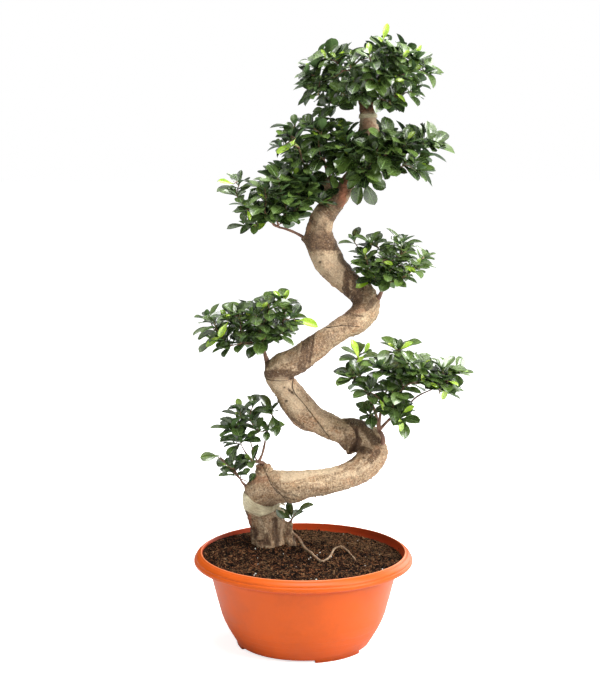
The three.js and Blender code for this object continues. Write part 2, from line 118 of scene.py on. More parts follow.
# Trunk: centre line and radius, from the stump in the soil to the cut end under the crown
TRUNK = [
    (-57, 45, 70, 23), (-57, 45, 110, 27), (-57, 45, 143, 28.5), (-59, 44, 174, 27),
    (-63, 41, 196, 27.5), (-69, 34, 219, 27.5), (-66, 21, 241, 26.5), (-45, 8, 251, 26.5),
    (-19, -3, 254, 25.5), (8, -9, 260, 22.5), (38, -10, 265, 20.5), (68, -6, 272, 20.5),
    (95, 4, 284, 22.5), (111, 19, 303, 24), (101, 31, 325, 24), (80, 34, 334, 23),
    (53, 32, 340, 19.5), (27, 29, 353, 20), (2, 27, 367, 25), (-15, 24, 390, 24),
    (-29, 18, 412, 20.5), (-41, 7, 432, 21), (-33, -7, 447, 22), (-9, -14, 459, 21),
    (15, -17, 478, 20), (40, -16, 496, 17.5), (62, -11, 509, 18), (84, -2, 521, 20.5),
    (99, 10, 538, 21), (95, 19, 557, 20), (76, 24, 573, 19), (57, 24, 591, 21),
    (40, 20, 611, 24), (31, 14, 631, 23.5), (24, 8, 650, 23), (26, 4, 669, 19.5),
    (34, 2, 688, 18), (50, 4, 707, 15.5), (65, 7, 728, 12.5), (79, 8, 752, 11),
    (88, 6, 777, 10.5), (94, 4, 801, 12), (99, 3, 822, 14), (99, 2, 842, 12.5),
    (96, 0, 866, 12),
]
STUBS = {
    "callus": ((-63, 18, 262), (-63, 18, 285), 15, 12.5),
    "top": ((34, 5, 690), (38, 6, 744), 12, 9.5),
    "shelf": ((6, 27, 364), (3, 25, 345), 19, 10),
    "fold": ((69, 33, 332), (83, 33, 304), 19, 13),
    "knob": ((104, 3, 814), (106, 3, 826), 13.5, 11),
    "neck": ((98, 2, 853), (98, 2, 863), 13, 15),
    "lobe": ((-20, 43, 120), (-27, 40, 184), 12, 8),
    "bridge": ((-50, 42, 190), (-28, 41, 168), 16, 9),
    "base": ((-27, 38, 172), (-20, 32, 188), 7, 4),
    "low_outer": ((-78, 24, 240), (-93, 18, 251), 8, 5.5),
    "mid_right": ((113, 14, 300), (126, 7, 322), 13, 7),
    "mid_left": ((-50, 2, 438), (-57, 0, 456), 9, 5.5),
    "right": ((104, 11, 538), (117, 8, 554), 11, 6),
    "left": ((14, 9, 641), (-1, 6, 651), 10, 5.5),
    "upper_right": ((80, 7, 748), (94, 2, 757), 7, 4.5),
    "crown": ((97, 1, 852), (96, 0, 869), 12, 10.5),
}
SURFACE_ROOT = [
    (-22, 40, 22), (-8, 33, 15), (2, 18, 5), (11, 2, 1.2), (20, -20, 0.9), (29, -42, 0.9),
    (38, -28, 0.9), (45, 4, 1), (52, 33, 1), (62, 41, 1.2), (71, 28, 1), (77, 0, 0.8),
    (82, -24, 0.2), (84, -34, -4),
]
ROOT_RADIUS = 2.1

# Bark: the stump's grooves and the torn wood by height, the callus on the first stub, the
# spacing of folds and ribs, and how far along the spine a bend is felt
STUMP_BARK = (212, 178)
TORN_WOOD = (836, 842)
CALLUS = (-63, 18, 280)
FOLD_SPACING = 5.2
RIB_SPACING = 4.4
BEND_REACH = 12
WART_SEED = 11

# Places on the bark as they appear. Dark ones (stains, and painted shadows in the folds at the
# bends), pale and raw ones: line, width, strength
STAINS_AND_FOLD_SHADOWS = [
    ([(76, 302), (81, 314), (86, 328)], 10, 1.0), ([(86, 328), (84, 345), (76, 356)], 4, 0.8),
    ([(72, 364), (97, 352), (115, 327)], 12, 0.62), ([(94, 314), (104, 312)], 8, 0.85),
    ([(56, 314), (74, 330)], 12, 0.45), ([(40, 350), (66, 346)], 5, 0.45),
    ([(10, 499), (3, 474), (-2, 448)], 9, 1.0), ([(17, 504), (9, 453)], 3, 1.0),
    ([(1, 490), (-7, 443)], 3, 0.9), ([(12, 446), (-8, 436)], 5, 0.6),
    ([(62, 618), (80, 600), (86, 575), (80, 545)], 13, 0.95), ([(66, 592), (68, 560)], 8, 0.85),
    ([(62, 628), (80, 610)], 5, 0.9), ([(78, 545), (72, 532)], 6, 0.6),
    ([(58, 531), (92, 527)], 2.6, 0.6),
    ([(-62, 436), (-14, 435)], 9, 0.8), ([(-60, 446), (-54, 462)], 6, 0.7),
    ([(-24, 411), (-15, 403)], 2.6, 1.0), ([(12, 644), (46, 642)], 17, 0.85),
    ([(24, 640), (30, 700)], 15, 0.5), ([(30, 700), (48, 716)], 14, 0.6),
    ([(50, 716), (70, 745)], 9, 0.4), ([(51, 734), (47, 702)], 6, 1.0),
    ([(-92, 215), (-90, 150)], 6, 0.6),
    ([(-75, 192), (-60, 150)], 14, 0.2), ([(-46, 200), (-42, 150)], 6, 0.7),
    ([(106, 296), (118, 310)], 7, 0.6), ([(-30, 440), (40, 478)], 5, 0.3),
    ([(4, 345), (60, 318)], 6, 0.4), ([(84, 848), (112, 852)], 12, 0.5),
    ([(100, 540), (112, 552)], 8, 0.55), ([(-40, 244), (40, 250)], 5, 0.35),
    ([(-10, 462), (70, 524)], 24, 0.42), ([(70, 535), (96, 560)], 22, 0.45),
    ([(20, 650), (32, 690)], 30, 0.3), ([(-74, 288), (-60, 280)], 7, 0.5),
    ([(-46, 400), (-28, 372), (0, 350)], 4, 0.5), ([(-52, 252), (-40, 262)], 8, 0.35),
]
PALE_PLACES = [
    ([(14, 606), (48, 612), (52, 592)], 20, 0.6), ([(-34, 420), (-10, 385)], 16, 0.7),
    ([(-30, 268), (50, 284)], 9, 0.9), ([(-36, 160), (-30, 190)], 7, 0.8),
    ([(30, 505), (60, 515)], 8, 0.15), ([(96, 828), (108, 814)], 20, 1.0),
    ([(18, 692), (40, 668)], 12, 0.35),
    ([(-70, 200), (-66, 170)], 4, 0.5), ([(10, 384), (40, 352)], 8, 0.35),
]
RAW_PLACES = [
    ([(-72, 286), (-56, 288)], 6, 0.35), ([(66, 736), (58, 704)], 9, 0.95),
    ([(88, 852), (112, 856)], 12, 0.8), ([(98, 826), (108, 812)], 13, 0.42),
    ([(-88, 205), (-86, 188)], 6, 0.7),
    ([(-80, 262), (-60, 268)], 9, 0.35), ([(118, 318), (112, 304)], 7, 0.3),
    ([(64, 532), (94, 536)], 5, 0.3), ([(10, 690), (6, 650)], 6, 0.4),
]
# Cracks as lines, knots with their size, and warts
CRACKS = [
    [(-16, 428), (-18, 414), (-13, 403), (3, 384), (22, 358), (42, 330)],
    [(-59, 274), (-51, 261), (-42, 250), (-26, 241), (-11, 238)],
    [(-46, 257), (-30, 240), (-25, 227)], [(-60, 428), (-16, 427)],
    [(36, 512), (60, 516), (88, 513)],
]
KNOTS = [(-27, 392, 3.4), (-30, 414, 2), (0, 355, 1.8), (26, 612, 3), (-8, 252, 2),
         (96, 300, 2.4), (-22, 409, 2.2), (-18, 406, 2.4), (103, 852, 4)]
WARTS = [
    (12, 237), (25, 240), (36, 242), (58, 250), (116, 269), (104, 262), (-90, 205), (-89, 199),
    (69, 304), (-6, 352), (2, 345), (14, 338), (22, 342), (-44, 396), (104, 290), (112, 300),
    (120, 312), (126, 304), (130, 312), (124, 294), (118, 284), (128, 286), (122, 276), (110, 280),
    (96, 268), (84, 262), (100, 276), (90, 256), (70, 250), (44, 246), (-32, 214), (-22, 217),
    (-50, 384), (-46, 376), (-40, 368), (-34, 362), (-28, 354), (-52, 398), (-18, 352),
]

# Creases pressed into the bark as they appear: line, width, depth
CREASES = [
    (CRACKS[0], 1.8, 1.2), (CRACKS[1], 2.6, 1.6), (CRACKS[2], 2.2, 1.2),
    ([(74, 302), (81, 314), (86, 330), (84, 346)], 5, 3.4),
    ([(66, 342), (70, 322), (66, 308)], 3, 1.4), ([(98, 322), (88, 310)], 4, 1.8),
    ([(38, 514), (85, 514)], 2.2, 0.9), ([(56, 532), (94, 527)], 2.4, 1.2),
    ([(17, 504), (9, 453)], 2.4, 1.5), ([(-24, 411), (-15, 403)], 2.4, 1.8),
    ([(-62, 428), (-14, 428)], 2.4, 1.6), ([(66, 596), (70, 560)], 4, 1.8),
    ([(-4, 444), (16, 440)], 2.4, 1.0), ([(10, 631), (56, 632)], 2, 0.8),
    ([(-44, 200), (-41, 150)], 5, 2.4), ([(-66, 200), (-62, 150)], 3, 1.2),
    ([(-80, 200), (-77, 150)], 3, 1.2),
]

# Raffia under the first bend and the tie under the crown, between a low and a high edge, and
# the shares of the trunk's length between which they lie
RAFFIA_LOW = [(-106, 207), (-91, 209), (-70, 201), (-52, 207), (-38, 213)]
RAFFIA_HIGH = [(-106, 240), (-92, 240), (-78, 228), (-60, 219.5), (-38, 217)]
RAFFIA_TAILS = [
    ([(-46, 8, 219), (-40, 6, 221), (-34, 9, 223), (-29, 12, 220)], 2.4),
    ([(-46, 8, 217), (-39, 5, 215), (-33, 8, 213), (-30, 12, 208)], 2.2),
    ([(-44, 7, 218), (-40, 2, 218.5), (-36, 3, 218)], 2.6),
]
TIE_LOW = [(70, 833), (125, 835)]
TIE_HIGH = [(70, 839), (125, 841)]
RAFFIA_REACH = (0.05, 0.17)
TIE_REACH = (0.93, 0.995)
RAFFIA_SEED, TIE_SEED = 3, 4
TIE_TURNS = 3

# Sprays. stem: its radius; fork: where it ends; tone: how light its leaves are; middle and
# depth: of the pad, along Y; leaf: their size; shoots: bare ones, as they appear; rosettes:
# whorls as they appear, some with a size; young: newest leaves as they appear, foot and tip;
# lone: single leaves, foot, tip and youth, some with the way that they face
SPRAYS = {
    "crown": dict(
        stem=6, fork=(96, 0, 884), middle=0, depth=48, leaf=0.96,
        rosettes=[
            (120, 942), (100, 930), (136, 928), (154, 926), (172, 924), (190, 898), (52, 922),
            (34, 924), (72, 922), (18, 912), (4, 896), (22, 868), (34, 842, 0.8), (46, 895),
            (104, 906), (124, 908), (76, 890), (114, 884), (134, 894), (150, 902), (168, 904),
            (168, 874, 0.8), (140, 870, 0.8), (60, 872), (52, 852, 0.8), (24, 888),
            (72, 866, 0.8), (122, 862, 0.8), (138, 856, 0.7), (90, 872),
        ],
        young=[
            ((121, 950), (128, 974)), ((150, 920), (160, 936)), ((170, 926), (178, 942)),
            ((134, 888), (152, 893)), ((48, 920), (60, 934)), ((140, 872), (156, 862)),
        ],
    ),
    "upper_left": dict(
        stub="top", stem=5, fork=(34, 6, 764), middle=2, depth=26, leaf=0.95,
        rosettes=[
            (-12, 824), (-20, 806), (8, 822), (30, 818), (50, 820), (24, 802), (-32, 786, 0.8),
            (-6, 788, 0.8), (-16, 764, 0.8), (4, 762, 0.8), (60, 806, 0.9), (26, 774, 0.9),
            (50, 744, 0.8),
        ],
        young=[((-14, 792), (-40, 786)), ((-12, 802), (-22, 790))],
    ),
    "left": dict(
        stem=2.6, fork=(-38, 2, 666), middle=0, depth=42, leaf=1.0,
        shoots=[[(-60, 680), (-84, 696)], [(-44, 690), (-40, 716)]],
        rosettes=[
            (-98, 738), (-104, 718, 0.7), (-84, 694, 0.8), (-60, 728), (-40, 742), (-16, 744),
            (4, 738), (20, 730), (-36, 724), (-10, 722), (8, 712), (-56, 706), (-30, 704),
            (-6, 700), (-64, 688), (-44, 684), (-20, 684), (-74, 668, 0.9), (-92, 670, 0.8),
            (28, 704),
        ],
        young=[((-50, 692), (-72, 664)), ((-88, 694), (-82, 680)), ((-108, 733), (-131, 738))],
    ),
    "upper_right": dict(
        stem=3.4, fork=(108, -4, 764), middle=-8, depth=38, leaf=1.12,
        lone=[
            ((90, -16, 740), (78, -20, 703), 0), ((95, -16, 738), (106, -18, 700), 0),
            ((88, -14, 742), (66, -16, 730), 0), ((99, -14, 740), (128, -12, 728), 0),
        ],
        rosettes=[
            (134, 801), (160, 800), (186, 794), (200, 786, 0.9), (144, 782), (110, 784),
            (162, 768), (176, 752, 0.9), (134, 752, 0.7), (90, 760), (98, 744, 0.7), (72, 774),
            (88, 788, 0.8), (58, 760), (66, 786, 0.9), (64, 812, 0.8), (68, 796, 0.9),
            (120, 766, 0.8),
        ],
    ),
    "right": dict(
        stem=4, fork=(124, 6, 572), tone=0.62, middle=4, depth=34, leaf=0.86,
        rosettes=[
            (76, 648, 0.8), (104, 640), (96, 622, 0.8), (102, 602), (130, 616), (150, 642),
            (160, 628), (188, 620), (176, 606), (144, 606), (160, 592), (130, 596), (112, 582),
            (136, 580, 0.8),
        ],
        young=[
            ((118, 593), (84, 578)), ((152, 630), (164, 640)), ((156, 606), (174, 598)),
            ((122, 612), (138, 610)), ((146, 596), (150, 578)), ((92, 598), (106, 592)),
        ],
    ),
    "mid_left": dict(
        stem=4, fork=(-62, 0, 474), tone=0.5, middle=-2, depth=42, leaf=0.92,
        rosettes=[
            (-36, 552), (-54, 546), (-82, 532), (-102, 532), (-120, 524), (-140, 518), (-96, 514),
            (-56, 522), (-34, 526), (-14, 524), (-72, 506), (-144, 488), (-128, 494), (-122, 478),
            (-104, 484, 0.9), (-54, 496), (-30, 500), (-74, 480, 0.8),
        ],
        young=[
            ((-118, 518), (-132, 496)), ((-128, 496), (-152, 482)), ((-14, 520), (20, 515)),
            ((-126, 526), (-118, 530)), ((-90, 522), (-84, 536)), ((-34, 550), (-44, 566)),
            ((-32, 550), (-24, 566)), ((-66, 536), (-58, 548)),
        ],
    ),
    "mid_right": dict(
        stem=4.4, fork=(120, 3, 344), tone=0.62, middle=2, depth=44, leaf=1.0,
        shoots=[
            [(115, 370), (105, 396), (95, 416), (88, 440), (86, 454)],
            [(138, 364), (158, 376), (178, 398), (206, 412)], [(122, 372), (128, 398), (136, 424)],
        ],
        rosettes=[
            (86, 466), (72, 428), (88, 436), (116, 446), (150, 474), (162, 454), (132, 440),
            (150, 432), (168, 434), (186, 444), (216, 444), (246, 438), (228, 426), (210, 424),
            (188, 424), (220, 410), (140, 408), (162, 412, 0.8), (106, 406), (104, 368, 0.75),
            (150, 364, 1.15), (142, 384),
        ],
        young=[
            ((88, 458), (77, 488)), ((96, 468), (102, 482)), ((146, 474), (136, 484)),
            ((152, 474), (168, 486)), ((158, 448), (166, 432)), ((186, 438), (190, 424)),
            ((196, 422), (212, 416)), ((226, 418), (222, 396)), ((120, 396), (128, 380)),
            ((150, 368), (158, 346)), ((156, 372), (172, 384)), ((228, 424), (244, 420)),
            ((244, 440), (258, 442)), ((82, 452), (92, 462)),
        ],
    ),
    "low_left": dict(
        stub="callus", stem=4, fork=(-72, 15, 290), middle=22, depth=18, leaf=1.1,
        shoots=[
            [(-80, 296), (-90, 306), (-97, 318)], [(-77, 302), (-82, 320), (-88, 340)],
            [(-66, 304), (-60, 330), (-58, 346), (-50, 364)],
        ],
        rosettes=[
            (-100, 377), (-79, 386, 0.8), (-52, 376, 0.9), (-83, 364, 0.8), (-102, 360, 0.8),
            (-118, 346, 0.8), (-100, 340), (-76, 344, 0.8), (-98, 325, 0.7), (-112, 326, 0.5),
            (-57, 342, 0.35), (-84, 296, 0.5),
        ],
    ),
    "low_outer": dict(
        stem=2.4, fork=(-101, 15, 262), middle=14, depth=6, leaf=0.66,
        shoots=[[(-112, 278), (-124, 292), (-136, 302)]],
        rosettes=[(-112, 282), (-122, 286, 0.7)],
        lone=[
            ((-134, 12, 301), (-165, 8, 299), 0.12), ((-114, 12, 285), (-113, 6, 315), 0),
            ((-100, 12, 270), (-87, 8, 281), 0), ((-88, 18, 256), (-80, 10, 272), 0),
            ((-118, 14, 287), (-142, 20, 290), 0),
        ],
    ),
    "base": dict(
        stem=2, fork=(-18, 30, 193), middle=28, depth=4, leaf=1.0,
        lone=[
            ((-19, 30, 192), (-42, 18, 213), 0), ((-18, 29, 194), (-24, 24, 222), 0),
            ((-12, 29, 203), (15, 26, 220), 0.1, (-0.5, -0.35, 0.8)),
            ((-18, 31, 192), (-2, 52, 208), 0),
        ],
    ),
}


def srgb(red, green, blue):
    """A colour written as it looks on a screen, 0 to 255, as the linear values of a socket."""
    def linear(value):
        share = value / 255
        return share / 12.92 if share <= 0.04045 else ((share + 0.055) / 1.055) ** 2.4
    return (linear(red), linear(green), linear(blue), 1.0)


def smooth(value, low=0.0, high=1.0):
    """0 below low, 1 above high, and an even S between them."""
    share = min(max((value - low) / (high - low), 0.0), 1.0)
    return share * share * (3 - 2 * share)


def mix(low, high, share):
    return low + (high - low) * share


def put(place):
    """A place in millimetres from the pot's axis as a vertex in the row's frame."""
    return Vector(place) * MM + AXIS


def seen(place):
    """Where a place in millimetres appears from the front, on the plane through the trunk."""
    away = EYE.y / (EYE.y - place.y)
    return place.x * away, EYE.z + (place.z - EYE.z) * away


def behind(x, z, y):
    """The place at depth y that appears at (x, z)."""
    grow = (y - EYE.y) / -EYE.y
    return Vector((x * grow, y, EYE.z + (z - EYE.z) * grow))


def line_distances(spots, line):
    """Distance of many (x, z) spots to a line of points."""
    nearest = np.full(len(spots), np.inf)
    for start, end in zip(line, line[1:]):
        along = np.subtract(end, start).astype(float)
        reach = spots - np.asarray(start, dtype=float)
        share = np.clip(reach @ along / (along @ along), 0, 1)
        off = reach - share[:, None] * along
        nearest = np.minimum(nearest, np.hypot(off[:, 0], off[:, 1]))
    return nearest


def eased(values, low, high):
    """What smooth gives, for many values at once."""
    share = np.clip((values - low) / (high - low), 0, 1)
    return share * share * (3 - 2 * share)


def height_at(line, x):
    """Height of a line of (x, z) points above a given x."""
    for (x0, z0), (x1, z1) in zip(line, line[1:]):
        if x <= x1:
            return mix(z0, z1, min(max((x - x0) / (x1 - x0), 0), 1))
    return line[-1][1]


def soil_plane(x, y):
    """The soil without its mound and lumps, falling to the back right."""
    along = x * math.cos(SOIL_FALL_DIRECTION) + y * math.sin(SOIL_FALL_DIRECTION)
    return SOIL_LEVEL - SOIL_FALL * along


def soil_height(x, y):
    off = math.hypot(x - STUMP[0], y - STUMP[1])
    mound = MOUND_HEIGHT * math.exp(-((off / MOUND_WIDTH) ** 2))
    lumps = 1.1 * math.sin(x / 17 + 1) * math.cos(y / 14) + 0.9 * math.sin((x - y) / 11)
    return soil_plane(x, y) + mound + lumps


def waves(point, *layers):
    """The sum of smooth noises, each with its height and its size."""
    return sum(height * noise.noise(point / size) for height, size in layers)


class Spine:
    """A smooth line through points (x, y, z, radius), sampled evenly along its length."""

    def __init__(self, points, count):
        places = [Vector(point[:3]) for point in points]
        radii = [point[3] for point in points]
        first = places[0] * 2 - places[1]
        last = places[-1] * 2 - places[-2]
        guides = [first, *places, last]
        fine = []
        for index in range(len(places) - 1):
            before, start, end, after = guides[index:index + 4]
            gaps = [max((b - a).length, 1e-6) ** 0.5 for a, b in
                    ((before, start), (start, end), (end, after))]
            leave = ((start - before) / gaps[0] - (end - before) / (gaps[0] + gaps[1])
                     + (end - start) / gaps[1]) * gaps[1]
            reach = ((end - start) / gaps[1] - (after - start) / (gaps[1] + gaps[2])
                     + (after - end) / gaps[2]) * gaps[1]
            for step in range(12):
                t = step / 12
                place = (start + leave * t + (end * 3 - start * 3 - leave * 2 - reach) * t ** 2
                         + (start * 2 - end * 2 + leave + reach) * t ** 3)
                fine.append((place, mix(radii[index], radii[index + 1], smooth(t))))
        fine.append((places[-1], radii[-1]))
        reached = [0.0]
        for (a, _), (b, _) in zip(fine, fine[1:]):
            reached.append(reached[-1] + (b - a).length)
        self.length = reached[-1]
        self.count = count
        self.places, self.radii = [], []
        index = 0
        for step in range(count + 1):
            want = self.length * step / count
            while index < len(fine) - 2 and reached[index + 1] < want:
                index += 1
            share = (want - reached[index]) / max(reached[index + 1] - reached[index], 1e-9)
            self.places.append(fine[index][0].lerp(fine[index + 1][0], share))
            self.radii.append(mix(fine[index][1], fine[index + 1][1], share))
        ends = zip(self.places[:1] + self.places[:-1], self.places[1:] + self.places[-1:])
        self.ways = [(after - before).normalized() for before, after in ends]
        normal = self.ways[0].orthogonal().normalized()
        self.normals = []
        for way in self.ways:
            normal = (normal - way * normal.dot(way)).normalized()
            self.normals.append(normal)

    def at(self, share):
        """Place, way, normal, side and radius at a share of the length."""
        where = min(max(share, 0), 1) * self.count
        low = min(int(where), self.count - 1)
        part = where - low
        way = self.ways[low].lerp(self.ways[low + 1], part).normalized()
        normal = self.normals[low].lerp(self.normals[low + 1], part)
        normal = (normal - way * normal.dot(way)).normalized()
        place = self.places[low].lerp(self.places[low + 1], part)
        radius = mix(self.radii[low], self.radii[low + 1], part)
        return place, way, normal, way.cross(normal), radius

    def surface(self, share, turn, grow=0.0):
        """A point of the round surface, turn going once round from 0 to 1."""
        place, _, normal, side, radius = self.at(share)
        angle = turn * 2 * math.pi
        return place + (normal * math.cos(angle) + side * math.sin(angle)) * (radius + grow)


def tapered(places, low, high, count, size=1):
    """A spine through places, its radius going evenly from low to high times the size."""
    last = len(places) - 1
    return Spine([(*place, size * mix(low, high, index / last))
                  for index, place in enumerate(places)], count)


TRUNK_SPINE = Spine(TRUNK, 1000)
TRUNK_TREE = kdtree.KDTree(len(TRUNK_SPINE.places))
for number, spot in enumerate(TRUNK_SPINE.places):
    TRUNK_TREE.insert(spot, number)
TRUNK_TREE.balance()


def room_to_trunk(place):
    """Distance from the trunk's surface, below zero inside it."""
    _, index, distance = TRUNK_TREE.find(place)
    return distance - TRUNK_SPINE.radii[index]


# Mesh helpers


def face_out(bm):
    bmesh.ops.recalc_face_normals(bm, faces=bm.faces)


def roll(bm, steps, sides, surface):
    """Rolls a flat grid into a closed tube and caps its ends; surface(share, turn) places it."""
    made = bmesh.ops.create_grid(bm, x_segments=steps, y_segments=sides, size=0.5)["verts"]
    for vert in made:
        turn = 0.0 if vert.co.y > 0.4999 else vert.co.y + 0.5
        vert.co = surface(vert.co.x + 0.5, turn)
    bmesh.ops.remove_doubles(bm, verts=made, dist=1e-7)
    kept = [vert for vert in made if vert.is_valid]
    edges = {edge for vert in kept for edge in vert.link_edges if edge.is_boundary}
    bmesh.ops.holes_fill(bm, edges=list(edges), sides=0)
    return kept


def make_mesh(bm, name, smooth_faces=True):
    """Turns a bmesh into a mesh."""
    mesh = bpy.data.meshes.new(name)
    bm.to_mesh(mesh)
    bm.free()
    mesh.polygons.foreach_set("use_smooth", [smooth_faces] * len(mesh.polygons))
    return mesh


def finish_mesh(bm, name, smooth_faces=True, outward=True):
    """Turns a bmesh into an object whose faces point outwards."""
    if outward:
        face_out(bm)
    piece = bpy.data.objects.new(name, make_mesh(bm, name, smooth_faces))
    bpy.context.scene.collection.objects.link(piece)
    return piece


def lay_uv(verts, layer, flat):
    """Gives each corner at some vertices its place in a flat layer."""
    for vert in verts:
        for loop in vert.link_loops:
            loop[layer].uv = flat(vert.co)


def spin(bm, section, segments, rounding=0.0):
    """Spins a line of (radius, height) points once round the axis, its corners rounded."""
    corners = [bm.verts.new((radius * MM, 0, height * MM)) for radius, height in section]
    for pair in zip(corners, corners[1:]):
        bm.edges.new(pair)
    if rounding:
        bmesh.ops.bevel(bm, geom=corners[1:-1], affect="VERTICES", offset=rounding * MM,
                        segments=3, profile=0.5, material=-1, clamp_overlap=True)
    bmesh.ops.spin(bm, geom=bm.verts[:] + bm.edges[:], cent=(0, 0, 0), axis=(0, 0, 1),
                   dvec=(0, 0, 0), angle=ROUND, steps=segments, use_merge=True)
    bmesh.ops.remove_doubles(bm, verts=bm.verts, dist=1e-6)
    face_out(bm)


def applied(piece):
    """Makes a piece's modifiers part of its mesh."""
    evaluated = piece.evaluated_get(bpy.context.evaluated_depsgraph_get())
    mesh = bpy.data.meshes.new_from_object(evaluated)
    piece.modifiers.clear()
    old, piece.data = piece.data, mesh
    mesh.name = piece.name
    bpy.data.meshes.remove(old)
    return piece


def fill_attribute(mesh, name, values):
    """Stores one number for each vertex."""
    layer = mesh.attributes.new(name, "FLOAT", "POINT")
    layer.data.foreach_set("value", values)


def join_frame(piece, slot, materials, *nodes):
    """The piece rides on the part's one body, takes its materials and stands for its nodes; the
    slot argument is not used.
    """
    for material in materials:
        piece.data.materials.append(material)
    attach(piece, "root")
    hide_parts(*nodes)
    return piece


# Shader nodes


class Nodes:
    """Short ways to add shader nodes to one tree."""

    def __init__(self, tree):
        self.tree = tree

    def feed(self, socket, value):
        """Links a socket to the one that feeds it, or sets its own value."""
        if isinstance(value, bpy.types.NodeSocket):
            self.tree.links.new(value, socket)
        else:
            socket.default_value = value

    def add(self, kind, inputs=None, **settings):
        """Adds a node; an input is a value or the socket that feeds it."""
        made = self.tree.nodes.new("ShaderNode" + kind)
        for name, value in settings.items():
            setattr(made, name, value)
        for name, value in (inputs or {}).items():
            self.feed(made.inputs[name], value)
        return made

    def maths(self, operation, first, second=0.0):
        return self.add("Math", {0: first, 1: second}, operation=operation).outputs[0]

    def times(self, first, second):
        return self.maths("MULTIPLY", first, second)

    def plus(self, first, second):
        return self.maths("ADD", first, second)

    def tint(self, factor, low, high):
        """Mixes two colours by a factor."""
        return self.add("Mix", {0: factor, 6: low, 7: high}, data_type="RGBA").outputs[2]

    def spread(self, value, low, high, to_low=0.0, to_high=1.0):
        """Stretches the part of a value between low and high over the new range."""
        return self.add("MapRange", {
            "Value": value, "From Min": low, "From Max": high, "To Min": to_low, "To Max": to_high,
        }, interpolation_type="SMOOTHSTEP").outputs[0]

    def noise(self, vector, scale, detail=2.0, roughness=0.5):
        return self.add("TexNoise", {"Vector": vector, "Scale": scale, "Detail": detail,
                                     "Roughness": roughness}).outputs[0]

    def stretch(self, vector, scale):
        return self.add("Mapping", {"Vector": vector, "Scale": scale}).outputs[0]

    def attribute(self, name, output="Fac"):
        return self.add("Attribute", attribute_name=name).outputs[output]

    def group(self, fill, *values):
        """Adds a shared group's node, with its inputs in order."""
        made = self.tree.nodes.new("ShaderNodeGroup")
        made.node_tree = shared_group(fill)
        for socket, value in zip(made.inputs, values):
            self.feed(socket, value)
        return made.outputs[0]


def mottle(nodes, vector, scale, finer, share):
    """Cloudy patches with a finer grain laid over them."""
    broad = nodes.noise(vector, scale, 3.0)
    grain = nodes.noise(vector, nodes.times(scale, finer), 4.0, 0.65)
    return nodes.add("Mix", {0: share, 2: broad, 3: grain}, data_type="FLOAT").outputs[0]


def specks(nodes, vector, scale, size, share):
    """Scattered round specks of one size."""
    cells = nodes.add("TexVoronoi", {"Vector": vector, "Scale": scale}).outputs
    chosen = nodes.add("SeparateColor", {"Color": cells["Color"]}).outputs[0]
    dot = nodes.spread(cells["Distance"], size, 0.0)
    return nodes.times(dot, nodes.maths("LESS_THAN", chosen, share))


def streak(nodes, vector, start, end, width, waver):
    """A wavering line between two points as seen from the front."""
    def vectors(operation, first, second):
        return nodes.add("VectorMath", {0: first, 1: second}, operation=operation).outputs

    flat = vectors("MULTIPLY", vector, (1, 0, 1))[0]
    along, reach = vectors("SUBTRACT", end, start)[0], vectors("SUBTRACT", flat, start)[0]
    share = nodes.maths("DIVIDE", vectors("DOT_PRODUCT", reach, along)["Value"],
                        vectors("DOT_PRODUCT", along, along)["Value"])
    share = nodes.add("Clamp", {"Value": share}).outputs[0]
    scaled = nodes.add("VectorMath", {0: along, "Scale": share}, operation="SCALE").outputs[0]
    distance = vectors("LENGTH", vectors("SUBTRACT", reach, scaled)[0], (0, 0, 0))["Value"]
    ripple = nodes.maths("SUBTRACT", nodes.noise(vector, 260.0), 0.5)
    return nodes.spread(nodes.plus(distance, nodes.times(ripple, waver)), width, 0.0)


# What each shared group puts out, and its inputs with their first values
GROUPS = {
    mottle: ("Value", {"Vector": None, "Scale": 20.0, "Grain": 8.0, "Grain Share": 0.4}),
    specks: ("Mask", {"Vector": None, "Scale": 400.0, "Size": 0.25, "Share": 0.5}),
    streak: ("Mask", {"Vector": None, "Start": (0, 0, 0), "End": (0, 0, 1), "Width": 0.001,
                      "Waver": 0.001}),
}


def shared_group(fill):
    """The node group that a function fills, made when it is first wanted."""
    name = fill.__name__
    if name in bpy.data.node_groups:
        return bpy.data.node_groups[name]
    output, inputs = GROUPS[fill]
    tree = bpy.data.node_groups.new(name, "ShaderNodeTree")
    for label, value in inputs.items():
        kind = "NodeSocketFloat" if isinstance(value, float) else "NodeSocketVector"
        socket = tree.interface.new_socket(label, in_out="INPUT", socket_type=kind)
        if value is not None:
            socket.default_value = value
    tree.interface.new_socket(output, in_out="OUTPUT", socket_type="NodeSocketFloat")
    given = tree.nodes.new("NodeGroupInput").outputs
    nodes = Nodes(tree)
    result = fill(nodes, *given[:len(inputs)])
    nodes.feed(tree.nodes.new("NodeGroupOutput").inputs[0], result)
    return tree


# Materials


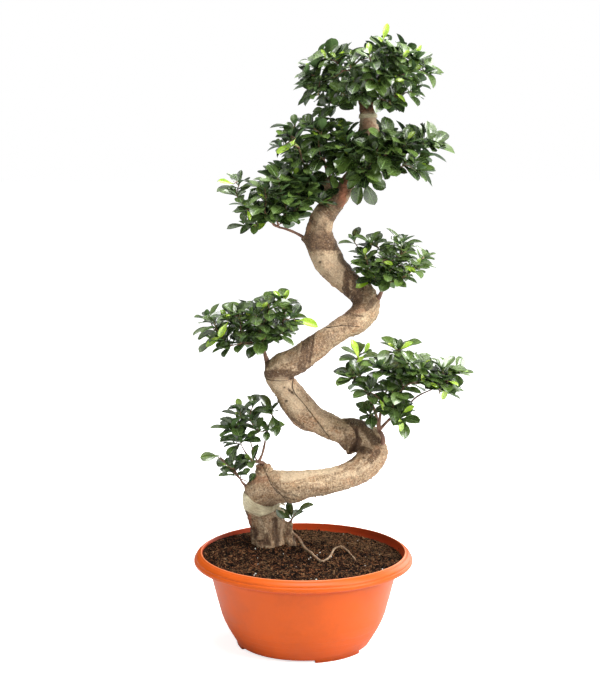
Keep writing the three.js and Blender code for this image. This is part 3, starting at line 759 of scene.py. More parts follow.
class Finish(Nodes):
    """A material whose colour is laid on in coats."""

    def __init__(self, name):
        self.material = bpy.data.materials.new(name)
        self.material.use_nodes = True
        super().__init__(self.material.node_tree)
        self.shader = self.tree.nodes["Principled BSDF"].inputs
        self.colour = None

    @property
    def place(self):
        """The coordinates that every pattern lies on."""
        known = self.tree.nodes.get("place")
        if known is None:
            known = self.add("TexCoord", name="place")
        return known.outputs["Object"]

    def coat(self, mask, colour, share=None):
        """Lays a colour over the others where the mask and its share let it through."""
        if share is not None:
            mask = self.times(mask, share)
        self.colour = self.tint(mask, self.colour, colour)

    def clouds(self, vector, scale, finer=8.0, share=0.4):
        return self.group(mottle, vector, scale, finer, share)

    def specks(self, vector, scale, size, share):
        return self.group(specks, vector, scale, size, share)

    def done(self, roughness, specular=None, height=None, strength=1.0, distance=0.0):
        """Feeds the shader and gives the material."""
        self.feed(self.shader["Base Color"], self.colour)
        self.feed(self.shader["Roughness"], roughness)
        if specular is not None:
            self.feed(self.shader["Specular IOR Level"], specular)
        if height is not None:
            relief = self.add("Bump", {"Height": height, "Strength": strength,
                                       "Distance": distance})
            self.feed(self.shader["Normal"], relief.outputs["Normal"])
        return self.material


def pot_material(look):
    """Satin orange plastic: faint clouding, darker towards the foot, soil dust inside, fine scuffs,
    a painted highlight along the lip and painted shade inside the bowl.
    """
    pot = Finish("orange_plastic")
    height = pot.add("SeparateXYZ", {"Vector": pot.place}).outputs["Z"]
    cloud = pot.clouds(pot.place, 14.0, 9.0, 0.3)
    deep = tuple(channel * 0.86 for channel in look.wall_colour[:3]) + (1.0,)
    pot.colour = pot.tint(pot.spread(cloud, 0.35, 0.65), deep, look.wall_colour)
    # darker towards the foot: the lowest 5 cm blend towards the foot colour
    pot.coat(pot.spread(height, 0.05, 0.0, 0.0, 0.3), look.foot_colour)
    inner = pot.attribute("inside")
    # painted shade: the inside of the bowl, the same plastic as the wall, is coloured a darker,
    # deeper orange
    pot.coat(inner, look.inside_shade_colour, 0.85)
    dust = pot.specks(pot.place, 420.0, 0.33, 0.35)
    pot.coat(pot.times(dust, pot.times(inner, 0.7)), srgb(70, 40, 24))
    long_grain = pot.stretch(pot.place, (1.0, 1.0, 26.0))
    scuff = pot.spread(pot.noise(long_grain, 22.0, 6.0, 0.7), 0.66, 0.74)
    pot.coat(scuff, srgb(240, 160, 110), 0.10)
    # painted highlight: a lighter orange along the top of the lip
    pot.coat(pot.spread(height, 0.1490, 0.1499, 0.0, 0.55), srgb(236, 150, 104))
    rough = pot.spread(cloud, 0.3, 0.7, look.roughness - 0.05, look.roughness + 0.06)
    return pot.done(pot.plus(rough, pot.times(scuff, 0.08)), 0.24,
                    pot.noise(pot.place, 900.0), 0.05, 0.0004)


def soil_material(look):
    """Nearly black fibrous peat, each crumb with its own tone, and painted shade in its hollows."""
    soil = Finish("peat")
    patch = soil.clouds(soil.place, 170.0, 2.6, 0.55)
    soil.colour = soil.tint(soil.spread(patch, 0.49, 0.58), look.dark, look.brown)
    broad = soil.clouds(soil.place, 34.0, 4.0, 0.5)
    soil.coat(soil.spread(broad, 0.53, 0.42, 0.0, 0.7), look.dark)
    soil.coat(soil.attribute("tone"), look.fibre)
    chips = soil.specks(soil.place, 420.0, 0.3, 0.3)
    soil.coat(chips, srgb(158, 112, 78), 0.9)
    hollows_and_painted_shade = soil.clouds(soil.place, 300.0, 3.0, 0.4)
    # painted shade: the low parts of the hollows cloud turn nearly black
    soil.coat(soil.spread(hollows_and_painted_shade, 0.55, 0.42, 0.0, 0.95), srgb(5, 3, 3))
    strands = soil.noise(soil.place, 520.0, 5.0, 0.75)
    height = soil.plus(soil.plus(strands, soil.times(hollows_and_painted_shade, 1.5)), chips)
    return soil.done(1.0, 0.06, height, 1.0, 0.0022)


def perlite_material():
    grains = Finish("perlite")
    cloud = grains.clouds(grains.place, 300.0)
    grains.colour = grains.tint(cloud, srgb(196, 190, 176), srgb(240, 238, 230))
    return grains.done(0.9, None, cloud, 0.5, 0.0005)


def bark_material(look):
    """Fig bark: fibres and cross creases, lenticels, pits, stains, cracks and raw wood, with
    painted shade in the folds, creases, cracks and knot holes.
    """
    bark = Finish("fig_bark")
    place, straight = bark.place, bark.attribute("straight", "Vector")
    crosswise = bark.stretch(straight, (0.3, 0.3, 1.7))
    patch = bark.clouds(place, 24.0, 5.0, 0.45)
    grain = bark.clouds(place, 340.0, 2.6, 0.5)
    fibre = bark.clouds(bark.stretch(straight, (1, 1, 0.2)), 130.0, 3.5, 0.5)
    rings = bark.clouds(crosswise, 150.0, 3.0, 0.45)
    warm = bark.clouds(place, 60.0, 5.0, 0.5)
    bark.colour = bark.tint(bark.spread(patch, 0.38, 0.62), look.brown, look.tan)
    for value, low, high, share, colour in (
            (fibre, 0.40, 0.68, 0.7, look.light), (rings, 0.55, 0.70, 0.5, look.brown),
            (warm, 0.50, 0.62, 0.5, look.warm), (warm, 0.46, 0.36, 0.45, srgb(118, 96, 68)),
            (grain, 0.52, 0.38, 0.65, look.dark), (grain, 0.52, 0.62, 0.55, look.light)):
        bark.coat(bark.spread(value, low, high, 0.0, share), colour)
    bark.coat(bark.attribute("pale"), look.light, 0.6)
    torn = bark.plus(bark.attribute("raw"), bark.times(grain, 0.6))
    bark.coat(bark.spread(torn, 0.42, 1.0), look.raw)
    edge = bark.plus(bark.attribute("stain_and_fold_shadow"), bark.times(fibre, 0.5))
    deep = bark.tint(bark.spread(grain, 0.42, 0.72), look.dark, look.brown)
    # stains, and painted shadows in the folds at the bends
    bark.coat(bark.spread(edge, 0.42, 0.95), deep, 0.9)
    dots = bark.specks(crosswise, 420.0, 0.36, 0.45)
    pits = bark.specks(place, 260.0, 0.3, 0.4)
    bark.coat(dots, look.light, 0.75)
    bark.coat(pits, look.dark, 0.8)
    cracks = None
    for line in CRACKS:
        for pair in zip(line, line[1:]):
            ends = [(put((x, 0, z)).x, 0, put((x, 0, z)).z) for x, z in pair]
            mask = bark.group(streak, place, *ends, 0.0009, 0.0012)
            cracks = bark.maths("MAXIMUM", cracks, mask) if cracks else mask
    cracks = bark.times(cracks, bark.attribute("front"))
    # painted shade: creases, cracks and knot holes are coloured dark
    bark.coat(bark.attribute("crease"), look.dark, 0.6)
    bark.coat(cracks, srgb(44, 30, 20), 0.9)
    bark.coat(bark.attribute("hollow"), srgb(50, 34, 22), 0.85)
    height = bark.plus(bark.times(fibre, 0.8), grain)
    height = bark.plus(height, bark.times(rings, -0.9))
    height = bark.plus(height, bark.times(dots, 0.4))
    height = bark.maths("SUBTRACT", height, bark.times(pits, 0.6))
    height = bark.maths("SUBTRACT", height, bark.times(cracks, 1.4))
    return bark.done(bark.spread(grain, 0.3, 0.7, 0.66, 0.9), 0.35, height, 1.0, 0.0028)


def raffia_material(look):
    """Pale waxy raffia with long fibres along each turn, streaked between a painted lit colour and
    a painted shade.
    """
    raffia = Finish("raffia")
    strip = raffia.add("UVMap", uv_map="strip").outputs[0]
    fibres = raffia.noise(raffia.stretch(strip, (9.0, 5.0, 1.0)), 1.6, 6.0, 0.7)
    # painted light and shade: the fibres mix a lit and a shaded raffia colour
    raffia.colour = raffia.tint(raffia.spread(fibres, 0.35, 0.65), look.shade, look.pale)
    dirt = raffia.specks(raffia.place, 130.0, 0.3, 0.2)
    smudge = raffia.spread(raffia.clouds(raffia.place, 60.0), 0.58, 0.8, 0.0, 0.25)
    raffia.coat(raffia.plus(raffia.times(dirt, 0.3), smudge), srgb(140, 124, 86))
    return raffia.done(raffia.spread(fibres, 0.3, 0.7, 0.3, 0.5), None, fibres, 1.0, 0.0022)


def leaf_material(look, under):
    """One side of a leaf: glossy with a pale midrib on top, matt and paler below."""
    leaf = Finish("leaf_underside" if under else "leaf_upper")
    strip = leaf.add("UVMap", uv_map="leaf").outputs[0]
    across, along, _ = leaf.add("SeparateXYZ", {"Vector": strip}).outputs
    off_middle = leaf.maths("ABSOLUTE", leaf.maths("SUBTRACT", across, 0.5))
    rib = leaf.spread(off_middle, 0.045, 0.012)
    slant = leaf.maths("SUBTRACT", along, leaf.times(off_middle, 0.55))
    wave = leaf.maths("PINGPONG", slant, 0.042)
    veins = leaf.times(leaf.spread(wave, 0.012, 0.0), 0.5)
    cloud = leaf.clouds(leaf.place, 70.0, 5.0, 0.4)
    shade = leaf.plus(leaf.times(leaf.attribute("tone"), 0.7),
                      leaf.spread(cloud, 0.35, 0.65, -0.15, 0.25))
    leaf.colour = leaf.tint(shade, look.dark, look.green)
    fresh = leaf.tint(leaf.spread(cloud, 0.35, 0.65), look.young, look.tip)
    leaf.coat(leaf.attribute("youth"), fresh)
    leaf.coat(leaf.maths("MAXIMUM", rib, leaf.times(veins, 0.35)), look.vein, 0.6)
    if under:
        leaf.coat(0.45, look.under)
    leaf.feed(leaf.shader["Coat Weight"], 0.0 if under else 0.7)
    leaf.feed(leaf.shader["Coat Roughness"], 0.1)
    relief = leaf.times(leaf.plus(rib, veins), 1.0 if under else -1.0)
    base = 0.45 if under else look.roughness
    return leaf.done(leaf.spread(cloud, 0.3, 0.7, base - 0.05, base + 0.1),
                     0.4 if under else 0.8, relief, 0.35, 0.0005)


def twig_material(look):
    """Reddish brown shoots with leaf scars, greener towards their tips."""
    twig = Finish("twig_bark")
    grain = twig.clouds(twig.place, 90.0, 5.0, 0.5)
    twig.colour = twig.tint(twig.spread(grain, 0.35, 0.65), look.twig_dark, look.twig)
    twig.coat(twig.attribute("youth"), srgb(120, 118, 60), 0.8)
    scars = twig.specks(twig.place, 420.0, 0.3, 0.35)
    twig.coat(scars, srgb(190, 160, 130), 0.5)
    return twig.done(0.7, None, twig.plus(grain, scars), 0.5, 0.0006)


def stage_material(look):
    """Pale floor that the camera sees a little brighter than it lights the object."""
    floor = Finish("studio_floor")
    floor.colour = look.floor_colour
    by_eye = floor.add("LightPath").outputs["Is Camera Ray"]
    floor.feed(floor.shader["Emission Color"], (1, 1, 1, 1))
    floor.feed(floor.shader["Emission Strength"], floor.times(by_eye, look.floor_glow))
    return floor.done(0.9, 0.1)


# Bowl


def build_pot(look):
    """Spins the moulded section, then adds the feet, the drain holes and soft corners."""
    bm = bmesh.new()
    spin(bm, POT_SECTION, look.segments, POT_ROUNDING)

    def is_foot(face):
        middle = face.calc_center_median()
        radius = math.hypot(middle.x, middle.y) / MM
        angle = math.atan2(middle.y, middle.x)
        inside = any(abs(math.remainder(angle - centre, ROUND)) < FOOT_ARC / 2
                     for centre in FOOT_CENTRES)
        in_ring = FOOT_RADII[0] < radius < FOOT_RADII[1]
        return inside and in_ring and abs(middle.z / MM - FOOT_DEPTH) < 0.2

    feet = bmesh.ops.extrude_face_region(bm, geom=[face for face in bm.faces if is_foot(face)])
    lowered = [part for part in feet["geom"] if isinstance(part, bmesh.types.BMVert)]
    bmesh.ops.translate(bm, verts=lowered, vec=(0, 0, -FOOT_DEPTH * MM))
    for vert in lowered:
        vert.co.z = 0
    bmesh.ops.translate(bm, verts=bm.verts, vec=AXIS)
    piece = finish_mesh(bm, "bowl")

    cutter = bmesh.new()
    for index in range(DRAIN_COUNT):
        angle = index / DRAIN_COUNT * 2 * math.pi
        middle = put((DRAIN_CIRCLE * math.cos(angle), DRAIN_CIRCLE * math.sin(angle),
                      POT_FLOOR))
        bmesh.ops.create_cone(cutter, cap_ends=True, segments=20, radius1=DRAIN_RADIUS * MM,
                              radius2=DRAIN_RADIUS * MM, depth=12 * MM,
                              matrix=Matrix.Translation(middle))
    holes = finish_mesh(cutter, "drain_cutter", smooth_faces=False)
    cut = piece.modifiers.new("drains", "BOOLEAN")
    cut.operation = "DIFFERENCE"
    cut.solver = "EXACT"
    cut.object = holes
    applied(piece)
    bpy.data.objects.remove(holes)
    inside = []
    for vert in piece.data.vertices:
        flat = (vert.co - AXIS) / MM
        radius = math.hypot(flat.x, flat.y)
        inside.append(smooth(height_at(POT_MIDDLE, flat.z) - radius, -0.8, 0.8))
    fill_attribute(piece.data, "inside", inside)
    return join_frame(piece, "pot", [pot_material(look)], "pot")


# Soil


def scatter(bm, template, place, size, turn, tone, layer):
    """Adds one loose bit, turned at random, with its own tone."""
    first = len(bm.verts)
    bit = template.copy()
    bit.transform(Matrix.Translation(place) @ turn @ Matrix.Diagonal((*size, 1)))
    bm.from_mesh(bit)
    bpy.data.meshes.remove(bit)
    bm.verts.ensure_lookup_table()
    for vert in bm.verts[first:]:
        vert[layer] = tone


def random_vector(rng):
    return Vector([rng.uniform(-1, 1) for _ in range(3)])


def random_turn(rng):
    axis = random_vector(rng)
    return Matrix.Rotation(rng.uniform(0, 6.28), 4, axis.normalized())


def crumb_template(rng):
    """An uneven crumb of twenty faces."""
    bm = bmesh.new()
    bmesh.ops.create_icosphere(bm, subdivisions=1, radius=1)
    for vert in bm.verts:
        vert.co *= rng.uniform(0.6, 1.15)
    return make_mesh(bm, "crumb")


def fibre_template(rng):
    """A bent strand of one unit's length."""
    bends = [(step / 4, rng.uniform(-0.16, 0.16), rng.uniform(-0.08, 0.12), 0.03)
             for step in range(5)]
    spine = Spine(bends, 5)
    bm = bmesh.new()
    roll(bm, 5, 3, spine.surface)
    face_out(bm)
    return make_mesh(bm, "fibre")


def soil_spot(rng):
    """A random place on the soil, clear of the stump, with its height."""
    while True:
        radius = SOIL_RADIUS * math.sqrt(rng.random()) * 0.975
        angle = rng.uniform(0, ROUND)
        x, y = radius * math.cos(angle), radius * math.sin(angle)
        if math.hypot(x - STUMP[0], y - STUMP[1]) > STUMP_RADIUS:
            return x, y, soil_height(x, y)


def build_soil(look):
    """Spins the bed of peat, roughens its top and strews crumbs, fibres and perlite on it."""
    rng = random.Random(SOIL_SEED)
    bm = bmesh.new()
    tone = bm.verts.layers.float.new("tone")
    rings = [SOIL_RADIUS * (1 - step / look.rings) for step in range(look.rings + 1)]
    spin(bm, SOIL_SECTION + [(radius, SOIL_LEVEL) for radius in rings], look.segments)
    for vert in bm.verts:
        if vert.co.z < (SOIL_LEVEL - 1) * MM:
            continue
        x, y = vert.co.x / MM, vert.co.y / MM
        radius = math.hypot(x, y)
        edge = height_at(SOIL_EDGE, soil_plane(x, y)) / SOIL_RADIUS
        out = mix(1, edge, (radius / SOIL_RADIUS) ** 4)
        spot = Vector((x, y, 0))
        rough = waves(spot, (1.5, 9), (2.2, 4), (1.6, 2))
        level = smooth(radius, SOIL_RADIUS, SOIL_RADIUS - 5)
        height = mix(soil_plane(x, y), soil_height(x, y), level)
        vert.co = Vector((x * out, y * out, height + rough * (0.25 + 0.75 * level))) * MM
        dry = smooth(0.5 * x + y, 30, 120) + noise.noise(spot / 22 + Vector((5, 0, 0)))
        vert[tone] = 0.26 * smooth(dry, 0.0, 1.0)
    bmesh.ops.translate(bm, verts=bm.verts, vec=AXIS)
    body_faces = len(bm.faces)
    crumbs = [crumb_template(rng) for _ in range(5)]
    fibres = [fibre_template(rng) for _ in range(5)]
    for _ in range(look.crumbs):
        x, y, z = soil_spot(rng)
        size = rng.uniform(0.7, 2.1) * (1.6 if rng.random() < 0.12 else 1)
        sizes = (size * MM, size * MM * rng.uniform(0.6, 1.2), size * MM * rng.uniform(0.5, 0.9))
        scatter(bm, rng.choice(crumbs), put((x, y, z + 0.5)), sizes, random_turn(rng),
                rng.choice((0.0, 0.0, 0.08, 0.25, 0.7)), tone)
    for _ in range(look.fibres):
        x, y, z = soil_spot(rng)
        if x + y < 0 and rng.random() < 0.55:
            continue
        length = rng.uniform(5, 15)
        turn = (Matrix.Rotation(rng.uniform(0, 6.28), 4, "Z")
                @ Matrix.Rotation(rng.uniform(-0.25, 0.1), 4, "Y")
                @ Matrix.Rotation(rng.uniform(0, 6.28), 4, "X"))
        scatter(bm, rng.choice(fibres), put((x, y, z + 1.4)), (length * MM,) * 3, turn,
                rng.uniform(0.35, 1.0), tone)
    perlite_start = len(bm.faces)
    for _ in range(look.perlite):
        x, y, z = soil_spot(rng)
        size = rng.uniform(0.6, 1.7) * MM
        scatter(bm, rng.choice(crumbs), put((x, y, z + 1.2)), (size, size, size * 0.8),
                random_turn(rng), 0.0, tone)
    for template in crumbs + fibres:
        bpy.data.meshes.remove(template)
    bm.faces.ensure_lookup_table()
    for face in bm.faces[perlite_start:]:
        face.material_index = 1
    piece = finish_mesh(bm, "peat", outward=False)
    soft = [index < body_faces for index in range(len(piece.data.polygons))]
    piece.data.polygons.foreach_set("use_smooth", soft)
    return join_frame(piece, "soil", [soil_material(look), perlite_material()], "soil")


# Trunk


def trunk_form(bm):
    """The trunk's tube with its cut ends, lobes and swollen grafts, overlapping each other."""
    roll(bm, 330, 36, lambda share, turn: put(TRUNK_SPINE.surface(share, turn)))
    for name, (start, end, low, high) in STUBS.items():
        places = [Vector(start).lerp(Vector(end), share) for share in (0, 0.25, 0.5, 0.75, 1)]
        spine = tapered(places, low, high, 16)
        round_off = 2.2 if name in ("callus", "top", "crown") else 1.2

        def knob(share, turn, spine=spine, round_off=round_off, name=name):
            back = round_off * smooth(share, 0.86, 1.0) ** 2
            point = spine.surface(share, turn, -back)
            uneven = 1.3 if name in ("callus", "top", "lobe", "bridge") else 0.5
            out = (point - spine.at(share)[0]).normalized()
            return put(point + out * uneven * noise.noise(point / 7))
        roll(bm, 14, 22, knob)


def band_share(turn, line, grow, low, high, count=70):
    """Where the trunk's surface at one turn rises through a line seen from the front."""
    before = None
    for step in range(count + 1):
        share = mix(low, high, step / count)
        point = TRUNK_SPINE.surface(share, turn, grow)
        over = point.z - height_at(line, point.x)
        if over >= 0:
            if before is None:
                return share
            last_share, last_over = before
            return mix(last_share, share, last_over / (last_over - over))
        before = (share, over)
    return high


def in_band(point):
    """1 under the raffia and the tie, 0 well away from them."""
    result = 0.0
    for low, high in ((RAFFIA_LOW, RAFFIA_HIGH), (TIE_LOW, TIE_HIGH)):
        bottom, top = height_at(low, point.x), height_at(high, point.x)
        in_x = low[0][0] - 8 < point.x < high[-1][0] + 14
        if in_x and point.y > -20:
            inside = smooth(point.z, bottom - 5, bottom) * smooth(point.z, top + 5, top)
            result = max(result, inside)
    return result


def bark_relief(point, index):
    """How far the bark stands out at a point, in millimetres, before its creases."""
    centre, way = TRUNK_SPINE.places[index], TRUNK_SPINE.ways[index]
    share = index / TRUNK_SPINE.count
    relief = waves(point, (1.4, 27), (1.0, 10), (0.8, 4.2))
    out = point - centre
    out -= way * out.dot(way)
    ahead = TRUNK_SPINE.ways[min(index + BEND_REACH, TRUNK_SPINE.count)]
    back = TRUNK_SPINE.ways[max(index - BEND_REACH, 0)]
    inner = out.normalized().dot(ahead - back) if out.length > 0.1 else 0
    folds = smooth(abs(inner), 0.25, 1.1)
    phase = share * TRUNK_SPINE.length / FOLD_SPACING * 2 * math.pi
    relief += 0.8 * folds * math.sin(phase + 3.5 * noise.noise(point / 14))
    stump = smooth(point.z, *STUMP_BARK)
    if stump > 0:
        grooved = Vector((point.x / 4, point.y / 4, point.z / 26))
        relief += stump * (2.4 * noise.noise(grooved) + 0.9 * noise.noise(point / 2.6))
    ribs = smooth(point.z, 803, 808) * smooth(point.z, 836, 832)
    phase = point.z / RIB_SPACING * 2 * math.pi + noise.noise(point / 10)
    relief += 0.7 * ribs * math.sin(phase)
    torn = smooth(point.z, *TORN_WOOD)
    relief += torn * 1.8 * noise.noise(Vector((point.x / 4, point.y / 4, point.z / 12)))
    callus = smooth((point - Vector(CALLUS)).length, 26, 16)
    relief += smooth(point.z, 266, 276) * callus * waves(point, (4.5, 6), (2.5, 2.8))
    return relief * (1 - 0.9 * in_band(point))


def strongest(spots, places, wobble, solid=0.45):
    """The strongest of the marked places at each spot."""
    result = np.zeros(len(spots))
    for line, width, strength in places:
        near = eased(line_distances(spots, line) + wobble * min(width / 8, 1), width, width * solid)
        result = np.maximum(result, strength * near)
    return result


class Skin:
    """Where the trunk's vertices lie, as arrays: places, spine, near side, and as they appear."""

    def __init__(self, places):
        self.points = [(place - AXIS) / MM for place in places]
        self.index = [TRUNK_TREE.find(point)[1] for point in self.points]
        centres = [TRUNK_SPINE.places[index] for index in self.index]
        depth = np.array([point.y - centre.y for point, centre in zip(self.points, centres)])
        self.front = eased(depth, 9, -3)
        self.spots = np.array([seen(point) for point in self.points])
        self.wobble = np.array([3.0 * noise.noise(point / 8) for point in self.points])
        self.height = np.array([point.z for point in self.points])

    def straight(self):
        """Each vertex as on a straightened trunk: across twice and along, in metres."""
        places = []
        for point, index in zip(self.points, self.index):
            way, normal = TRUNK_SPINE.ways[index], TRUNK_SPINE.normals[index]
            out = point - TRUNK_SPINE.places[index]
            along = TRUNK_SPINE.length * index / TRUNK_SPINE.count + out.dot(way)
            places += [out.dot(normal) * MM, out.dot(way.cross(normal)) * MM, along * MM]
        return places


def trunk_marks(mesh, root_start):
    """Stains and painted fold shadows, pale patches, raw wood, and the painted shade of holes and
    creases, for the bark's colours.
    """
    skin = Skin([vert.co for vert in mesh.vertices])
    spots, wobble, front = skin.spots, skin.wobble, skin.front
    stump = eased(skin.height, 205, 165)
    top = eased(spots[:, 1], 625 + wobble, 631 + wobble)
    broad = np.array([noise.noise(point / 24 + Vector((3, 1, 7))) for point in skin.points])
    fine = np.array([noise.noise(point / 12) for point in skin.points])
    stain_and_fold_shadow = strongest(spots, STAINS_AND_FOLD_SHADOWS, wobble) * front
    stain_and_fold_shadow = np.maximum(stain_and_fold_shadow, (0.52 + 0.5 * fine) * top)
    stain_and_fold_shadow = np.maximum(stain_and_fold_shadow, 0.62 * stump * (0.8 + fine))
    stain_and_fold_shadow = np.maximum(stain_and_fold_shadow, 0.5 * eased(broad, 0.15, 0.5) * (1 - 0.5 * front))
    pale = strongest(spots, PALE_PLACES, wobble) * front * (1 - 0.6 * stump)
    stain_and_fold_shadow *= 1 - 0.75 * pale
    stain_and_fold_shadow[root_start:] = 0.4
    raw = np.maximum(strongest(spots, RAW_PLACES, wobble), 0.16 * top)
    raw = np.maximum(raw, 0.35 * stump * eased(fine, -0.1, 0.3))
    hollow = np.zeros(len(spots))
    for x, z, size in KNOTS:
        reach = np.hypot(spots[:, 0] - x, (spots[:, 1] - z)) + 0.3 * wobble
        hollow = np.maximum(hollow, eased(reach, size, size * 0.5))
    crease = strongest(spots, CREASES, 0 * wobble, 0) / 2.4 * front
    for name, values in (("stain_and_fold_shadow", stain_and_fold_shadow), ("raw", raw), ("pale", pale), ("crease", crease),
                         ("hollow", hollow * front), ("front", front)):
        fill_attribute(mesh, name, values)
    layer = mesh.attributes.new("straight", "FLOAT_VECTOR", "POINT")
    layer.data.foreach_set("vector", skin.straight())


def shape_bark(bm, strength):
    """Raises and creases the fused skin along its normals."""
    bm.normal_update()
    skin = Skin([vert.co for vert in bm.verts])
    creases = strongest(skin.spots, CREASES, 0.3 * skin.wobble, 0) * skin.front
    for x, z, size in KNOTS:
        reach = np.hypot(skin.spots[:, 0] - x, skin.spots[:, 1] - z)
        creases += 1.6 * eased(reach, size * 1.2, 0) * skin.front
    moves = []
    for vert, point, index, crease in zip(bm.verts, skin.points, skin.index, creases):
        moves.append(vert.normal * (bark_relief(point, index) - crease) * strength * MM)
    for vert, move in zip(bm.verts, moves):
        vert.co += move


def add_warts(bm, look, rng):
    """Small raised warts, a few at known places and the rest at random."""
    spots = [behind(x, z, 0) for x, z in WARTS]
    for _ in range(look.warts):
        share = rng.choice((rng.uniform(0.2, 0.42), rng.uniform(0.2, 0.9)))
        spots.append(TRUNK_SPINE.surface(share, rng.random(), 0.4))
    for spot in spots:
        _, index, _ = TRUNK_TREE.find(spot)
        out = (spot - TRUNK_SPINE.places[index]).normalized()
        on_skin = TRUNK_SPINE.places[index] + out * (TRUNK_SPINE.radii[index] + 0.1)
        if in_band(on_skin) < 0.05:
            size = rng.uniform(0.8, 1.9) * MM
            turn = out.to_track_quat("Z", "Y").to_matrix().to_4x4()
            flat = Matrix.Diagonal((size, size * rng.uniform(0.7, 1.3), size * 0.7, 1))
            bmesh.ops.create_icosphere(bm, subdivisions=1, radius=1,
                                       matrix=Matrix.Translation(put(on_skin)) @ turn @ flat)


def add_root(bm):
    """The bare root that winds over the soil."""
    places = [(x, y, soil_height(x, y) + over + 0.5) for x, y, over in SURFACE_ROOT]
    root = tapered(places, 1.2, 0.6, 150, ROOT_RADIUS)

    def root_skin(share, turn):
        point = root.surface(share, turn, 0.25 * math.sin(share * 90))
        return put(point + Vector((0, 0, 0.3 * noise.noise(point / 5))))
    roll(bm, 150, 9, root_skin)


def build_trunk(look):
    """Fuses the trunk's forms into one skin, shapes its bark, then adds warts and the bare root."""
    bm = bmesh.new()
    trunk_form(bm)
    piece = finish_mesh(bm, "trunk_bark")
    fuse = piece.modifiers.new("fuse", "REMESH")
    fuse.mode = "VOXEL"
    fuse.voxel_size = look.voxel
    applied(piece)
    bm = bmesh.new()
    bm.from_mesh(piece.data)
    for _ in range(3):
        bmesh.ops.smooth_vert(bm, verts=bm.verts, factor=0.5, use_axis_x=True, use_axis_y=True,
                              use_axis_z=True)
    face_out(bm)
    shape_bark(bm, look.relief)
    add_warts(bm, look, random.Random(WART_SEED))
    root_start = len(bm.verts)
    add_root(bm)
    face_out(bm)
    piece.data = make_mesh(bm, "trunk_bark")
    trunk_marks(piece.data, root_start)
    return join_frame(piece, "bark", [bark_material(look)], "trunk")


# Raffia and tie


def add_tail(bm, strip, line, width):
    """A loose end of raffia along a line of places, twisting as it goes."""
    spine = Spine([(*place, width) for place in line], 12)
    made = bmesh.ops.create_grid(bm, x_segments=12, y_segments=3, size=0.5)["verts"]
    lay_uv(made, strip, lambda place: (place.x * 0.3, place.y + 0.5))
    for vert in made:
        share, across = vert.co.x + 0.5, vert.co.y * 2
        place, way, _, _, _ = spine.at(share)
        side = Matrix.Rotation(0.9 * math.sin(share * 4), 3, way) @ way.cross(Vector((0, -1, 0)))
        crumple = Vector((0, -0.7 * abs(across) + 0.5 * noise.noise(place / 2), 0))
        vert.co = put(place + side * width * across * mix(1.0, 0.6, share) + crumple)


def build_wrap(name, node, low_line, high_line, shares, look, turns, seed, tails=()):
    """Thin overlapping turns wound on the trunk between two edges, with their loose ends."""
    rng = random.Random(seed)
    bm = bmesh.new()
    strip = bm.loops.layers.uv.new("strip")
    for turn_index in range(turns):
        start = turn_index / turns - (0.08 if turn_index else 0.0)
        end = min((turn_index + 1) / turns + 0.1, 1.0)
        slope, phase = rng.uniform(0.04, 0.09), rng.uniform(0, 6.28)
        lift = 0.35 + 0.22 * (turn_index % 3)
        made = bmesh.ops.create_grid(bm, x_segments=5, y_segments=84, size=0.5)["verts"]
        lay_uv(made, strip, lambda place: (place.y + 0.5 + turn_index * 0.37, place.x + 0.5))
        edges = {}
        for vert in made:
            across = vert.co.x + 0.5
            turn = 0.0 if vert.co.y > 0.4999 else vert.co.y + 0.5
            if turn not in edges:
                edges[turn] = (band_share(turn, low_line, 1, *shares),
                               band_share(turn, high_line, 1, *shares))
            bottom, top = edges[turn]
            tilt = slope * math.sin(turn * 2 * math.pi + phase)
            part = mix(start, end, across) + tilt * math.sin(math.pi * (start + end) / 2)
            wrinkle = 1.1 * noise.noise(Vector((turn * 20, across * 2.5, turn_index * 5)))
            wrinkle += 0.35 * noise.noise(Vector((turn * 50, across * 9, turn_index * 7)))
            shingle = 0.55 * (1 - across)
            where = mix(bottom, top, min(max(part, 0), 1))
            vert.co = put(TRUNK_SPINE.surface(where, turn, lift + shingle + wrinkle))
        bmesh.ops.remove_doubles(bm, verts=made, dist=1e-7)
    for line, width in tails:
        add_tail(bm, strip, line, width)
    piece = finish_mesh(bm, name)
    thicken = piece.modifiers.new("thickness", "SOLIDIFY")
    thicken.thickness = look.thickness
    thicken.offset = 1.0
    return join_frame(applied(piece), "raffia", [raffia_material(look)], node)


# Foliage: how far out a rosette may stand and still have one behind it, the depth up to which
# a pad has none, the chance of one between, rosettes' and leaves' room to the bark, the turn
# from one leaf of a whorl to the next and how light a leaf is
PAD_INSIDE = 0.86
THIN_PAD = 20
INNER_CHANCE = 0.5
TIP_ROOM = 12
LEAF_ROOM = 1.5
LEAF_TURN = 2.4
TONE, TONE_SPREAD = 0.42, 0.32


